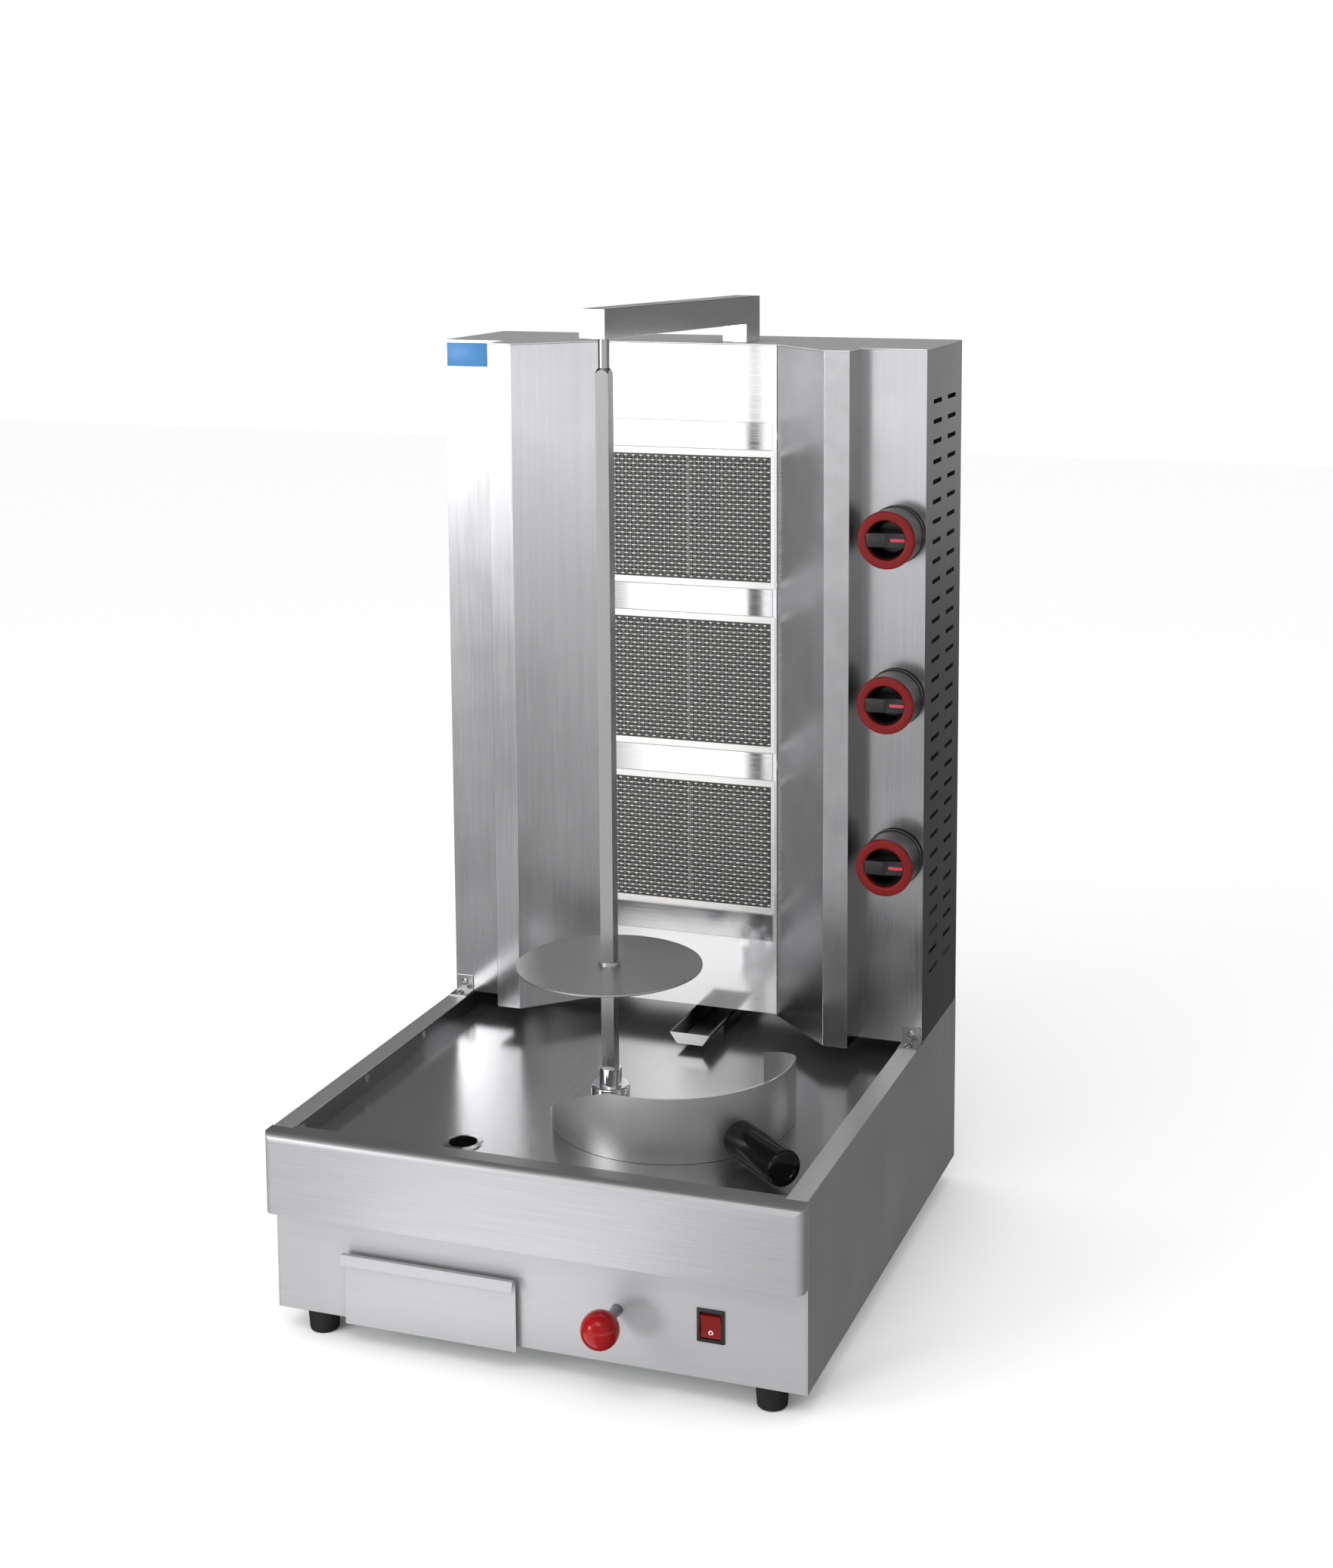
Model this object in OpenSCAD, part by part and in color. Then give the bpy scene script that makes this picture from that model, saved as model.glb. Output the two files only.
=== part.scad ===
// Vertical rotisserie broiler, three gas burners, in millimetres.
// X runs left to right seen from the front, +Y runs to the rear, +Z up.
// The origin is on the counter, in the middle of the whole footprint, which runs
// from the ball knob in front to the gas inlet at the rear.

/* [Base cabinet] */
// Width over the side panels
base_w = 520; // [480:10:600]
// Depth from the front panel to the rear panel
base_d = 542; // [530:4:600]
// Height of the base panels, without the feet
base_h = 178; // [172:1:200]
// Height of the rubber feet
foot_h = 24; // [15:1:40]
// Thickness of the steel sheet
sheet = 1.2; // [1:0.1:1.5]
// Width of the flat rim on both sides of the tray
rim_w = 20; // [16:1:26]
// Depth of the drip tray below the rim
tray_deep = 20; // [15:1:26]

/* [Burner housing] */
// Height of the housing above the rim
housing_h = 707; // [690:1:760]
// Depth of the housing from its wing faces to the rear cover
housing_d = 148; // [146:1:160]
// Distance from one burner to the next
burner_pitch = 172; // [168:1:180]
// Height of the lowest burner above the rim
burner_low = 183; // [178:1:190]
// Half the width of the burner wall
recess_half = 96; // [96:1:100]

/* [Spit] */
// Side of the square spit bar
spit_side = 13; // [11:0.5:14]
// Diameter of the meat disc
disc_d = 180; // [140:5:200]
// Height of the meat disc above the rim
disc_up = 119; // [110:5:160]
// Distance from the spit to the burner wall
spit_gap = 224.5; // [215:0.5:240]

/* [Controls] */
// Distance from one gas knob to the next
knob_pitch = 164.5; // [155:0.5:175]
// Diameter of the gas knobs
knob_d = 58; // [50:1:60]
// How far the ball knob stands in front of the panel
ball_out = 40; // [36:1:60]
// Diameter of the ball knob
ball_d = 35; // [30:1:40]

/* [Hidden] */

// Curves that pins and bores depend on
fine = 64;
// Gap between pieces that move past each other
gap = 0.3;
// Radial clearance of a running shaft
run = 0.05;
// Overshoot of a cutting tool
over = 1;

// Planes of the base cabinet
inlet_out = 16;
half_w = base_w / 2;
front_out = ball_out + ball_d / 2;
front_y = (front_out - base_d - inlet_out) / 2;
rear_y = front_y + base_d;
rim_z = foot_h + base_h;
tray_z = rim_z - tray_deep;
tray_half = half_w - rim_w;
tray_front_y = front_y + 6;
tray_rear_y = rear_y - 70;
turn_in = 15;

// Planes of the burner housing
wing_y = rear_y - housing_d;
top_z = rim_z + housing_h;
wall_y = wing_y + 24.3;
wall_z = rim_z + 4;
strip_in = 167;
strip_out = 193;
strip_y = wing_y - 40.6;
strip_z = rim_z + 2;

// Burners, counted from the lowest
burner_z = [for (i = [0:2]) rim_z + burner_low + i * burner_pitch];
tile_half_x = 91;
tile_half_z = 64.5;
flange_half_z = 71.5;
burner_deep = 46;
neck_r = 12;
neck_y = wall_y + 20;
neck_end_x = 185;

// Gas knobs, counted from the lowest
knob_x = 231;
knob_low = 194;
knob_z = [for (i = [0:2]) rim_z + knob_low + i * knob_pitch];
knob_r = knob_d / 2;
knob_face_y = wing_y - 44;
stem_r = 4;
valve_y = wing_y + sheet;
valve_r = 12;
valve_len = 50;
manifold_y = wing_y + 77;
inlet_z = rim_z + 40;
inlet_r = 10.5;

// Spit, spindle and drive
spit_y = wall_y - spit_gap;
spit_top = top_z - 9;
pin_r = 5.5;
disc_z = rim_z + disc_up;
collar_low_r = 19;
collar_low_h = 20.5;
collar_up_r = 11;
collar_up_h = 17;
socket_deep = 24;
shaft_r = 10;
gear_z = 112;
gear_h = 12;
tooth_module = 2;
gear_teeth = 60;
pinion_teeth = 20;
axle_gap = tooth_module * (gear_teeth + pinion_teeth) / 2;
motor_y = spit_y - axle_gap;
motor_shaft_r = 5;
rail_z = 104;
rail_in = -38;
rail_out = 104;

// Swinging top arm
arm_side = 28;
arm_wall = 2;
arm_z = top_z + 19;
post_x = 50;
post_y = rear_y - 94;
post_r = 8;
arm_yaw = -atan2(post_x, post_y - spit_y);
arm_reach = norm([post_x, post_y - spit_y]);
arm_nose = 20;
post_deep = 46;

// Controls on the front panel
rod_x = 82;
rod_z = foot_h + 51;
rod_r = 5;
rocker_x = 171;
rocker_z = foot_h + 51;
rocker_w = 26;
rocker_h = 31;

// Drawer
drawer_left = -187;
drawer_right = -14;
box_left = -172;
box_right = -44;
box_deep = 165;
box_low = foot_h + 3 * sheet + gap;
box_high = foot_h + 56;
drain_x = -95;
drain_y = front_y + 60;
drain_r = 15;

// Scoop
scoop_x = 67;
scoop_y = front_y + 188;
scoop_r = 118;
scoop_h = 62;
scoop_from = -153;
scoop_to = 60;
scoop_slope = 52;
handle_angle = -41;
handle_r = 17;
handle_len = 90;

function arc(x, y, r, from, to, steps) =
    [for (i = [0:steps]) let (a = from + (to - from) * i / steps) [x + r * cos(a), y + r * sin(a)]];
function unit(v) = v / norm(v);
function left_of(v) = [-v[1], v[0]];
function side_in(p, i) = left_of(unit(p[max(i, 1)] - p[max(i, 1) - 1]));
function side_out(p, i) = left_of(unit(p[min(i, len(p) - 2) + 1] - p[min(i, len(p) - 2)]));
function mitre(p, i, t) =
    let (a = side_in(p, i), b = side_out(p, i)) p[i] + t * (a + b) / (1 + a * b);
// Outline of a sheet of thickness t whose one face follows the path p
function sheet_outline(p, t) = concat(p, [for (i = [len(p) - 1:-1:0]) mitre(p, i, t)]);

module bent_sheet(path, height) {
    linear_extrude(height) polygon(sheet_outline(path, sheet));
}

module along_x() {
    rotate([90, 0, 90]) children();
}

module along_y() {
    rotate([-90, 0, 0]) children();
}

module both_sides() {
    children();
    mirror([1, 0, 0]) children();
}

module stadium(length, width) {
    square([length - width, width], center = true);
    for (s = [-1, 1]) translate([s * (length - width) / 2, 0]) circle(d = width, $fn = 24);
}

// Involute gear
function involute(base, a) = base * [cos(a) + a * PI / 180 * sin(a), sin(a) - a * PI / 180 * cos(a)];
function spin(v, a) = [v[0] * cos(a) - v[1] * sin(a), v[0] * sin(a) + v[1] * cos(a)];
function flank_turn(base, pitch) =
    let (a = sqrt(pitch * pitch / base / base - 1) * 180 / PI) a - atan(a * PI / 180);
function tooth_points(teeth, slack) =
    let (
        pitch = tooth_module * teeth / 2,
        base = pitch * cos(20),
        tip = pitch + tooth_module * 0.9,
        root = pitch - tooth_module * 1.2,
        last = sqrt(tip * tip / base / base - 1) * 180 / PI,
        first = root > base ? sqrt(root * root / base / base - 1) * 180 / PI : 0,
        half = 90 / teeth - slack / pitch * 90 / PI + flank_turn(base, pitch),
        flank = [for (i = [0:4]) spin(involute(base, first + (last - first) * i / 4), -half)]
    )
    concat(
        [spin([root, 0], -half)],
        flank,
        [for (i = [4:-1:0]) [flank[i][0], -flank[i][1]]],
        [spin([root, 0], half)]
    );
function gear_outline(teeth, slack) =
    [for (k = [0:teeth - 1]) for (q = tooth_points(teeth, slack)) spin(q, k * 360 / teeth)];

// ---------- Base cabinet ----------

module side_panel() {
    translate([0, rear_y, 0])
        rotate([90, 0, 0])
            difference() {
                bent_sheet([
                    [half_w - turn_in, foot_h], [half_w, foot_h],
                    [half_w, rim_z], [half_w - rim_w, rim_z]
                ], base_d);
                rim_screw_holes();
                side_slit();
                fold_ends();
            }
}

// Room at both ends of the bottom fold for the front and the rear panel
module fold_ends() {
    for (end = [0, base_d])
        translate([half_w - turn_in - over, foot_h - over, end - sheet - gap])
            cube([turn_in + over - sheet, sheet + 2 * over, 2 * (sheet + gap)]);
}

slit_y = wing_y - 1;

// Relief slit in the side panel, down from the rim and then forwards
module side_slit() {
    translate([half_w, rim_z, rear_y - slit_y]) rotate([0, -90, 0])
        linear_extrude(4 * sheet, center = true)
            polygon([
                [over, -1], [over, 2], [-15, 2], [-21, 30], [-22, 30], [-18, -1]
            ]);
}

// Holes in the rim for the foot screws of the corner brackets
module rim_screw_holes() {
    translate([bracket_x, rim_z, rear_y - bracket_foot_y]) rotate([90, 0, 0])
        cylinder(h = 4 * sheet, r = hole_r, center = true, $fn = 24);
}

bracket_x = half_w - rim_w / 2 - 0.5;
bracket_w = rim_w - 1;
bracket_up = 17;
bracket_foot = 20;
bracket_foot_y = wing_y - 12;
bracket_screw_z = rim_z + 10;
hole_r = 2.1;
screw_r = 2;
head_r = 3.6;

module side_panel_left() {
    color("silver") mirror([1, 0, 0]) side_panel();
}

module side_panel_right() {
    color("silver") side_panel();
}

// Room at both ends of a bottom fold for the folds of the side panels
module fold_notches(y) {
    both_sides()
        translate([half_w - turn_in - gap, y, foot_h - over])
            cube([turn_in + over, turn_in, sheet + over]);
}

module front_panel() {
    inner_w = base_w - 2 * sheet;
    color("silver")
        difference() {
            translate([-inner_w / 2, 0, 0]) along_x()
                bent_sheet([
                    [front_y, rim_z - 10], [front_y, foot_h], [front_y + turn_in, foot_h]
                ], inner_w);
            fold_notches(front_y + sheet);
            translate([box_left - 2, front_y - over, box_low - 1.5])
                cube([box_right - box_left + 4, sheet + 2 * over, box_high - box_low + 3.5]);
            translate([rod_x, front_y - over, rod_z]) along_y()
                cylinder(h = sheet + 2 * over, r = rod_r + run, $fn = fine);
            translate([rocker_x - rocker_w / 2 + 2, front_y - over, rocker_z - rocker_h / 2 + 2])
                cube([rocker_w - 4, sheet + 2 * over, rocker_h - 4]);
        }
}

module base_rear_panel() {
    inner_w = base_w - 2 * sheet;
    color("silver")
        difference() {
            translate([-inner_w / 2, 0, 0]) along_x()
                bent_sheet([
                    [rear_y - turn_in, foot_h], [rear_y, foot_h], [rear_y, rim_z - sheet]
                ], inner_w);
            fold_notches(rear_y - sheet - turn_in);
            translate([gland_x, rear_y - sheet - over, gland_z]) along_y()
                cylinder(h = sheet + 2 * over, r = gland_r, $fn = fine);
        }
}

gland_x = -180;
gland_z = foot_h + 60;
gland_r = 8;

module base_floor() {
    inset = 1.5 * sheet;
    color("gray")
        difference() {
            translate([-half_w + inset, front_y + inset, foot_h + sheet])
                cube([base_w - 2 * inset, base_d - 2 * inset, sheet]);
            for (x = [-150:50:150]) translate([x, rear_y - 190, foot_h]) linear_extrude(10)
                rotate(90) stadium(80, 8);
        }
}

module drip_tray() {
    wall_top = rim_z - sheet;
    color("silver")
        difference() {
            translate([-tray_half - sheet, tray_front_y - sheet, tray_z - sheet])
                cube([2 * tray_half + 2 * sheet, tray_rear_y - tray_front_y + 2 * sheet, wall_top - tray_z + sheet]);
            translate([-tray_half, tray_front_y, tray_z])
                cube([2 * tray_half, tray_rear_y - tray_front_y, tray_deep + over]);
            translate([drain_x, drain_y, tray_z - 5]) cylinder(h = 10, r = drain_r, $fn = fine);
            translate([0, spit_y, tray_z - 5]) cylinder(h = 10, r = shaft_r + 2, $fn = fine);
            both_sides() tray_screw_places()
                cylinder(h = 6, r = hole_r, center = true, $fn = 24);
        }
}

tray_screw_y = [front_y + 17, front_y + 145, front_y + 271];

module tray_screw_places() {
    for (y = tray_screw_y) translate([tray_half, y, rim_z - 6]) rotate([0, -90, 0]) children();
}

apron_out = 20;
apron_over = 1.5;
apron_h = 78;
apron_round = 8;

// Band with a round top edge and round front corners, smaller by t all round
module apron_block(t) {
    low = rim_z - apron_h + t;
    nose = front_y - apron_out;
    side = half_w + apron_over;
    round_r = apron_round - t;
    back = tray_front_y - sheet - t;
    behind = front_y - gap + (t > 0 ? over : 0);
    intersection() {
        translate([-side, 0, 0]) along_x()
            linear_extrude(2 * side)
                polygon(concat(
                    [[behind, low], [nose + t, low]],
                    arc(nose + apron_round, rim_z - apron_round, round_r, 180, 90, 8),
                    [[back, rim_z - t], [back, rim_z - 9 - t], [behind, rim_z - 9 - t]]
                ));
        linear_extrude(rim_z + 10)
            polygon(concat(
                [
                    [side - t, front_y - gap + t], [tray_half - t, front_y - gap + t],
                    [tray_half - t, 0], [-tray_half + t, 0],
                    [-tray_half + t, front_y - gap + t], [-side + t, front_y - gap + t]
                ],
                arc(-side + apron_round, nose + apron_round, round_r, 180, 270, 8),
                arc(side - apron_round, nose + apron_round, round_r, 270, 360, 8)
            ));
    }
}

module front_apron() {
    color("silver")
        difference() {
            apron_block(0);
            apron_block(sheet);
        }
}

module drain_tube() {
    color("silver")
        translate([drain_x, drain_y, 0]) rotate_extrude($fn = fine)
            polygon([
                [drain_r - 1.5, box_high + 10], [drain_r, box_high + 10], [drain_r, tray_z],
                [drain_r + 4, tray_z], [drain_r + 3, tray_z + 1.2], [drain_r - 1.5, tray_z + 2]
            ]);
}

module drawer_runners() {
    rail = 10;
    low = foot_h + 2 * sheet;
    color("gray")
        for (s = [0, 1])
            translate([s * (box_left + box_right), 0, 0]) mirror([s, 0, 0])
                translate([0, front_y + 20, 0]) rotate([90, 0, 0]) mirror([0, 0, 1])
                    linear_extrude(box_deep)
                        polygon(sheet_outline([
                            [box_left - gap - sheet, box_high - 6], [box_left - gap - sheet, low],
                            [box_left - gap - sheet + rail, low]
                        ], sheet));
}

foot_x = 220;
foot_in = 20;

module feet() {
    color([0.08, 0.08, 0.08])
        for (x = [-foot_x, foot_x], y = [front_y + foot_in, rear_y - foot_in])
            translate([x, y, 0]) {
                cylinder(h = foot_h, r1 = 14, r2 = 17, $fn = fine);
                translate([0, 0, foot_h - over]) cylinder(h = over + sheet, r = 4, $fn = fine);
            }
}

// ---------- Burner housing ----------

vent_rows = 30;
vent_pitch = 20.2;
vent_top = 54;
vent_len = 34;
vent_h = 4.5;

module wing() {
    height = top_z - sheet - rim_z;
    difference() {
        translate([0, 0, rim_z])
            bent_sheet([
                [strip_out, wing_y], [half_w, wing_y], [half_w, rear_y - sheet],
                [half_w - turn_in, rear_y - sheet]
            ], height);
        for (i = [0:vent_rows - 1])
            for (y = [wing_y + 45, wing_y + 104])
                translate([half_w, y, top_z - vent_top - i * vent_pitch])
                    cube([4 * sheet, vent_len, vent_h], center = true);
        translate([bracket_x, wing_y, bracket_screw_z]) along_y()
            cylinder(h = 10, r = hole_r, center = true, $fn = 24);
    }
}

module wing_left() {
    color("silver") mirror([1, 0, 0]) wing();
}

module wing_right() {
    color("silver")
        difference() {
            wing();
            for (z = knob_z) translate([knob_x, wing_y - over, z]) along_y()
                cylinder(h = 10, r = stem_r + 2, $fn = fine);
        }
}

module rear_cover() {
    color("silver")
        difference() {
            translate([-half_w + sheet, rear_y - sheet, rim_z])
                cube([base_w - 2 * sheet, sheet, housing_h - sheet]);
            for (x = [-110, 110], z = [rim_z + 120:40:top_z - 80])
                translate([x, rear_y, z]) rotate([90, 0, 0])
                    linear_extrude(4 * sheet, center = true) stadium(120, 8);
            translate([knob_x, rear_y - 5, inlet_z]) along_y()
                cylinder(h = 10, r = inlet_r + 0.5, $fn = fine);
        }
}

function front_outline() = [
    [half_w, wing_y], [strip_out, wing_y], [strip_out, strip_y], [strip_in, strip_y],
    [recess_half + 1, wall_y + 2.7], [-recess_half - 1, wall_y + 2.7], [-strip_in, strip_y],
    [-strip_out, strip_y], [-strip_out, wing_y], [-half_w, wing_y]
];

module top_plate() {
    color("gray")
        difference() {
            translate([0, 0, top_z - sheet])
                linear_extrude(sheet)
                    polygon(concat(front_outline(), [[-half_w, rear_y], [half_w, rear_y]]));
            translate([post_x, post_y, top_z - 5]) cylinder(h = 10, r = post_r + 0.2, $fn = fine);
        }
}

// Front strip and the wall that flares back to the burners
module reflector() {
    translate([0, 0, strip_z])
        bent_sheet([
            [recess_half + 1, wall_y + 2.7], [strip_in, strip_y],
            [strip_out, strip_y], [strip_out, wing_y + 14]
        ], top_z - sheet - strip_z);
}

module reflector_left() {
    color("silver") mirror([1, 0, 0]) reflector();
}

module reflector_right() {
    color("silver") reflector();
}

module back_reflector() {
    color("silver")
        difference() {
            translate([-recess_half - 1, wall_y + 1.5, wall_z])
                cube([2 * recess_half + 2, sheet, top_z - sheet - wall_z]);
            for (z = burner_z)
                translate([-tile_half_x - 3, wall_y, z - tile_half_z - 3])
                    cube([2 * tile_half_x + 6, 10, 2 * tile_half_z + 6]);
        }
}

// Bright trims above, between and below the burners
module reflector_strips() {
    between = burner_pitch - 2 * flange_half_z - 2 * gap;
    color("silver")
        for (i = [-1:2])
            translate([-recess_half + 3, wall_y + 0.3, i < 0
                    ? burner_z[0] - flange_half_z - gap - between
                    : burner_z[i] + flange_half_z + gap])
                cube([2 * recess_half - 6, sheet, between]);
}

module burner_body(i) {
    z = burner_z[i];
    box_x = tile_half_x + 2.5;
    box_z = tile_half_z + 2.5;
    back = wall_y + burner_deep;
    color("gray")
        difference() {
            union() {
                translate([-recess_half + 0.5, wall_y + 0.3, z - flange_half_z])
                    cube([2 * recess_half - 1, sheet, 2 * flange_half_z]);
                translate([-box_x, wall_y + 0.3, z - box_z])
                    cube([2 * box_x, back - wall_y, 2 * box_z]);
                translate([box_x - 1, neck_y, knob_z[i]]) rotate([0, 90, 0])
                    cylinder(h = neck_end_x - box_x + 1, r = neck_r, $fn = fine);
            }
            translate([-tile_half_x, wall_y - over, z - tile_half_z])
                cube([2 * tile_half_x, back - wall_y - 1, 2 * tile_half_z]);
            translate([box_x - 5, neck_y, knob_z[i]]) rotate([0, 90, 0])
                cylinder(h = neck_end_x, r = neck_r - 1.5, $fn = fine);
        }
}

module burner_body_upper() {
    burner_body(2);
}

module burner_body_middle() {
    burner_body(1);
}

module burner_body_lower() {
    burner_body(0);
}

module burner_tiles() {
    color("tan")
        for (z = burner_z, s = [-1, 0])
            translate([s * tile_half_x + 0.2, wall_y + 4, z - tile_half_z + 0.3])
                cube([tile_half_x - 0.4, 13, 2 * tile_half_z - 0.6]);
}

module burner_meshes() {
    color("dimgray")
        for (z = burner_z)
            translate([-tile_half_x + 0.2, wall_y + 2, z - tile_half_z + 0.2])
                cube([2 * tile_half_x - 0.4, 1.6, 2 * tile_half_z - 0.4]);
}

// ---------- Gas train ----------

module gas_manifold() {
    pipe_r = 9;
    stub = manifold_y - valve_y - valve_len;
    top = knob_z[2] + 20;
    color("goldenrod")
        difference() {
            union() {
                translate([knob_x, manifold_y, inlet_z - pipe_r])
                    cylinder(h = top - inlet_z + pipe_r, r = pipe_r, $fn = fine);
                for (z = knob_z)
                    translate([knob_x, manifold_y - stub, z]) along_y()
                        cylinder(h = stub, r = 6, $fn = fine);
                translate([knob_x, manifold_y, inlet_z]) along_y()
                    cylinder(h = rear_y + inlet_out - manifold_y, r = pipe_r, $fn = fine);
                translate([knob_x, rear_y + 1, inlet_z]) along_y()
                    cylinder(h = inlet_out - 1, r = inlet_r, $fn = fine);
                translate([knob_x, rear_y - 12, inlet_z]) along_y()
                    cylinder(h = 8, r = 14, $fn = 6);
            }
            translate([knob_x, manifold_y, inlet_z]) along_y()
                cylinder(h = 100, r = 7.5, $fn = fine);
            translate([knob_x, manifold_y, inlet_z])
                cylinder(h = top - inlet_z - 3, r = 6.5, $fn = fine);
        }
}

outlet_end_x = neck_end_x + 18;

module gas_valves() {
    color("goldenrod")
        for (z = knob_z)
            difference() {
                union() {
                    translate([knob_x, valve_y, z]) along_y()
                        cylinder(h = valve_len, r = valve_r, $fn = fine);
                    translate([outlet_end_x, neck_y, z]) rotate([0, 90, 0])
                        cylinder(h = knob_x - outlet_end_x, r = 5, $fn = fine);
                }
                translate([knob_x, valve_y - over, z]) along_y()
                    cylinder(h = 22, r = stem_r + run, $fn = fine);
            }
}

module injectors() {
    color("gold")
        for (z = knob_z)
            translate([neck_end_x + 3, neck_y, z]) rotate([0, 90, 0])
                difference() {
                    union() {
                        cylinder(h = 8, r1 = 3, r2 = 5, $fn = fine);
                        translate([0, 0, 8]) cylinder(h = 7, r = 6.5, $fn = 6);
                    }
                    translate([0, 0, -over]) cylinder(h = 30, r = 1, $fn = 24);
                }
}

// ---------- Knobs ----------

knob_in = 19.5;
ring_h = 5;
grip_w = 14;

module knob(i) {
    back = wing_y - 2;
    length = back - knob_face_y - ring_h;
    color([0.1, 0.1, 0.1])
        translate([knob_x, back, knob_z[i]]) rotate([90, 0, 0])
            difference() {
                union() {
                    difference() {
                        cylinder(h = length, r1 = knob_r, r2 = knob_r - 0.5, $fn = fine);
                        translate([0, 0, 14]) cylinder(h = length, r = knob_in + 3, $fn = fine);
                    }
                    intersection() {
                        translate([-knob_r, -grip_w / 2, 5])
                            cube([2 * knob_r, grip_w, length + ring_h - 4]);
                        cylinder(h = length + ring_h + 2, r = knob_in - gap, $fn = fine);
                    }
                }
                translate([0, 0, -over]) cylinder(h = 15, r = stem_r, $fn = fine);
                translate([4, -2, length + ring_h + 0.4]) cube([knob_in, 4, 5]);
            }
}

// Red ring on the front of the knob, with the red pointer on the grip
module knob_ring(i) {
    back = wing_y - 2;
    length = back - knob_face_y - ring_h;
    color("crimson")
        translate([knob_x, back - length, knob_z[i]]) rotate([90, 0, 0]) {
            rotate_extrude($fn = fine)
                polygon(concat(
                    [[knob_in, 0], [knob_r - 0.5, 0]],
                    arc(knob_r - 2, ring_h - 2, 2, 0, 90, 5),
                    arc(knob_in + 1.5, ring_h - 1.5, 1.5, 90, 180, 5)
                ));
            translate([4, -2, ring_h + 0.4]) cube([knob_in - 5, 4, 0.9]);
        }
}

module valve_stem(i) {
    color("gainsboro")
        translate([knob_x, wing_y - 2 - 14, knob_z[i]]) along_y()
            cylinder(h = 16 + sheet + 18, r = stem_r, $fn = fine);
}

module knob_upper() {
    knob(2);
}

module knob_middle() {
    knob(1);
}

module knob_lower() {
    knob(0);
}

module knob_ring_upper() {
    knob_ring(2);
}

module knob_ring_middle() {
    knob_ring(1);
}

module knob_ring_lower() {
    knob_ring(0);
}

module valve_stem_upper() {
    valve_stem(2);
}

module valve_stem_middle() {
    valve_stem(1);
}

module valve_stem_lower() {
    valve_stem(0);
}

// ---------- Front controls ----------

rocker_tilt = 8;
rocker_boss = 0.2;

module switch_housing() {
    wide = rocker_w - 7;
    high = rocker_h - 7;
    color([0.08, 0.08, 0.08])
        translate([rocker_x, front_y, rocker_z])
            difference() {
                union() {
                    translate([-rocker_w / 2, -2, -rocker_h / 2]) cube([rocker_w, 2, rocker_h]);
                    translate([-rocker_w / 2 + 2, 0, -rocker_h / 2 + 2])
                        cube([rocker_w - 4, 26, rocker_h - 4]);
                }
                translate([-wide / 2, -3, -high / 2]) cube([wide, 19, high]);
            }
}

// Rocker, tilted to its off position
module switch_rocker() {
    wide = rocker_w - 8;
    high = rocker_h - 8;
    color("red")
        translate([rocker_x - wide / 2, front_y + 6, rocker_z]) rotate([rocker_tilt, 0, 0])
            along_x() {
                linear_extrude(wide)
                    polygon([
                        [-7.5, -high / 2 + 1], [-6.8, 0], [-7.5, high / 2 - 1],
                        [0, high / 2 - 1.5], [6, 2], [6, -2], [0, -high / 2 + 1.5]
                    ]);
                translate([0, 0, -rocker_boss])
                    cylinder(h = wide + 2 * rocker_boss, r = 2.5, $fn = fine);
            }
}

ball_y = front_y - ball_out;
lug_y = motor_y - 22;

module pull_rod() {
    color("gainsboro")
        translate([rod_x, ball_y + 4, rod_z]) along_y()
            cylinder(h = lug_y - ball_y - 4, r = rod_r, $fn = fine);
}

module ball_knob() {
    ball_r = ball_d / 2;
    color("red")
        translate([rod_x, ball_y, rod_z]) along_y() rotate_extrude($fn = fine)
            polygon(concat(
                arc(0, 0, ball_r, -90, acos(rod_r / ball_r), 16),
                [[rod_r, 4], [0, 4]]
            ));
}

// ---------- Drive ----------

plate_z = rail_z + gap;

module motor_carriage() {
    color("silver")
        difference() {
            union() {
                translate([rail_in, motor_y - 40, plate_z]) cube([rail_out - rail_in, 80, 3]);
                translate([rod_x - 9, lug_y, rod_z - 9]) cube([18, 3, plate_z - rod_z + 9]);
            }
            translate([0, motor_y, plate_z - over]) cylinder(h = 10, r = 12, $fn = fine);
        }
}

module gear_motor() {
    color("dimgray")
        translate([0, motor_y, 0])
            difference() {
                union() {
                    translate([-29, -35, plate_z - 34]) cube([58, 62, 34]);
                    translate([0, -2, plate_z - 72]) cylinder(h = 38, r = 26, $fn = fine);
                    translate([0, 0, plate_z]) cylinder(h = 3, r = 12, $fn = fine);
                }
                translate([0, 0, plate_z - 20]) cylinder(h = 30, r = motor_shaft_r + run, $fn = fine);
            }
}

module motor_pinion() {
    color("gainsboro")
        translate([0, motor_y, 0]) {
            translate([0, 0, plate_z - 18])
                cylinder(h = gear_z - plate_z + 18, r = motor_shaft_r, $fn = fine);
            translate([0, 0, gear_z]) rotate(90 + 180 / pinion_teeth) linear_extrude(gear_h)
                polygon(gear_outline(pinion_teeth, 0.25));
        }
}

module carriage_guides() {
    low = foot_h + 2 * sheet;
    length = 130;
    color("gray")
        for (s = [0, 1])
            translate([s * (rail_in + rail_out), 0, 0]) mirror([s, 0, 0])
                translate([0, motor_y + length / 2, 0]) rotate([90, 0, 0])
                    linear_extrude(length)
                        polygon(sheet_outline([
                            [rail_in + 12, low], [rail_in, low], [rail_in, rail_z], [rail_in + 8, rail_z]
                        ], -sheet));
}

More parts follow.
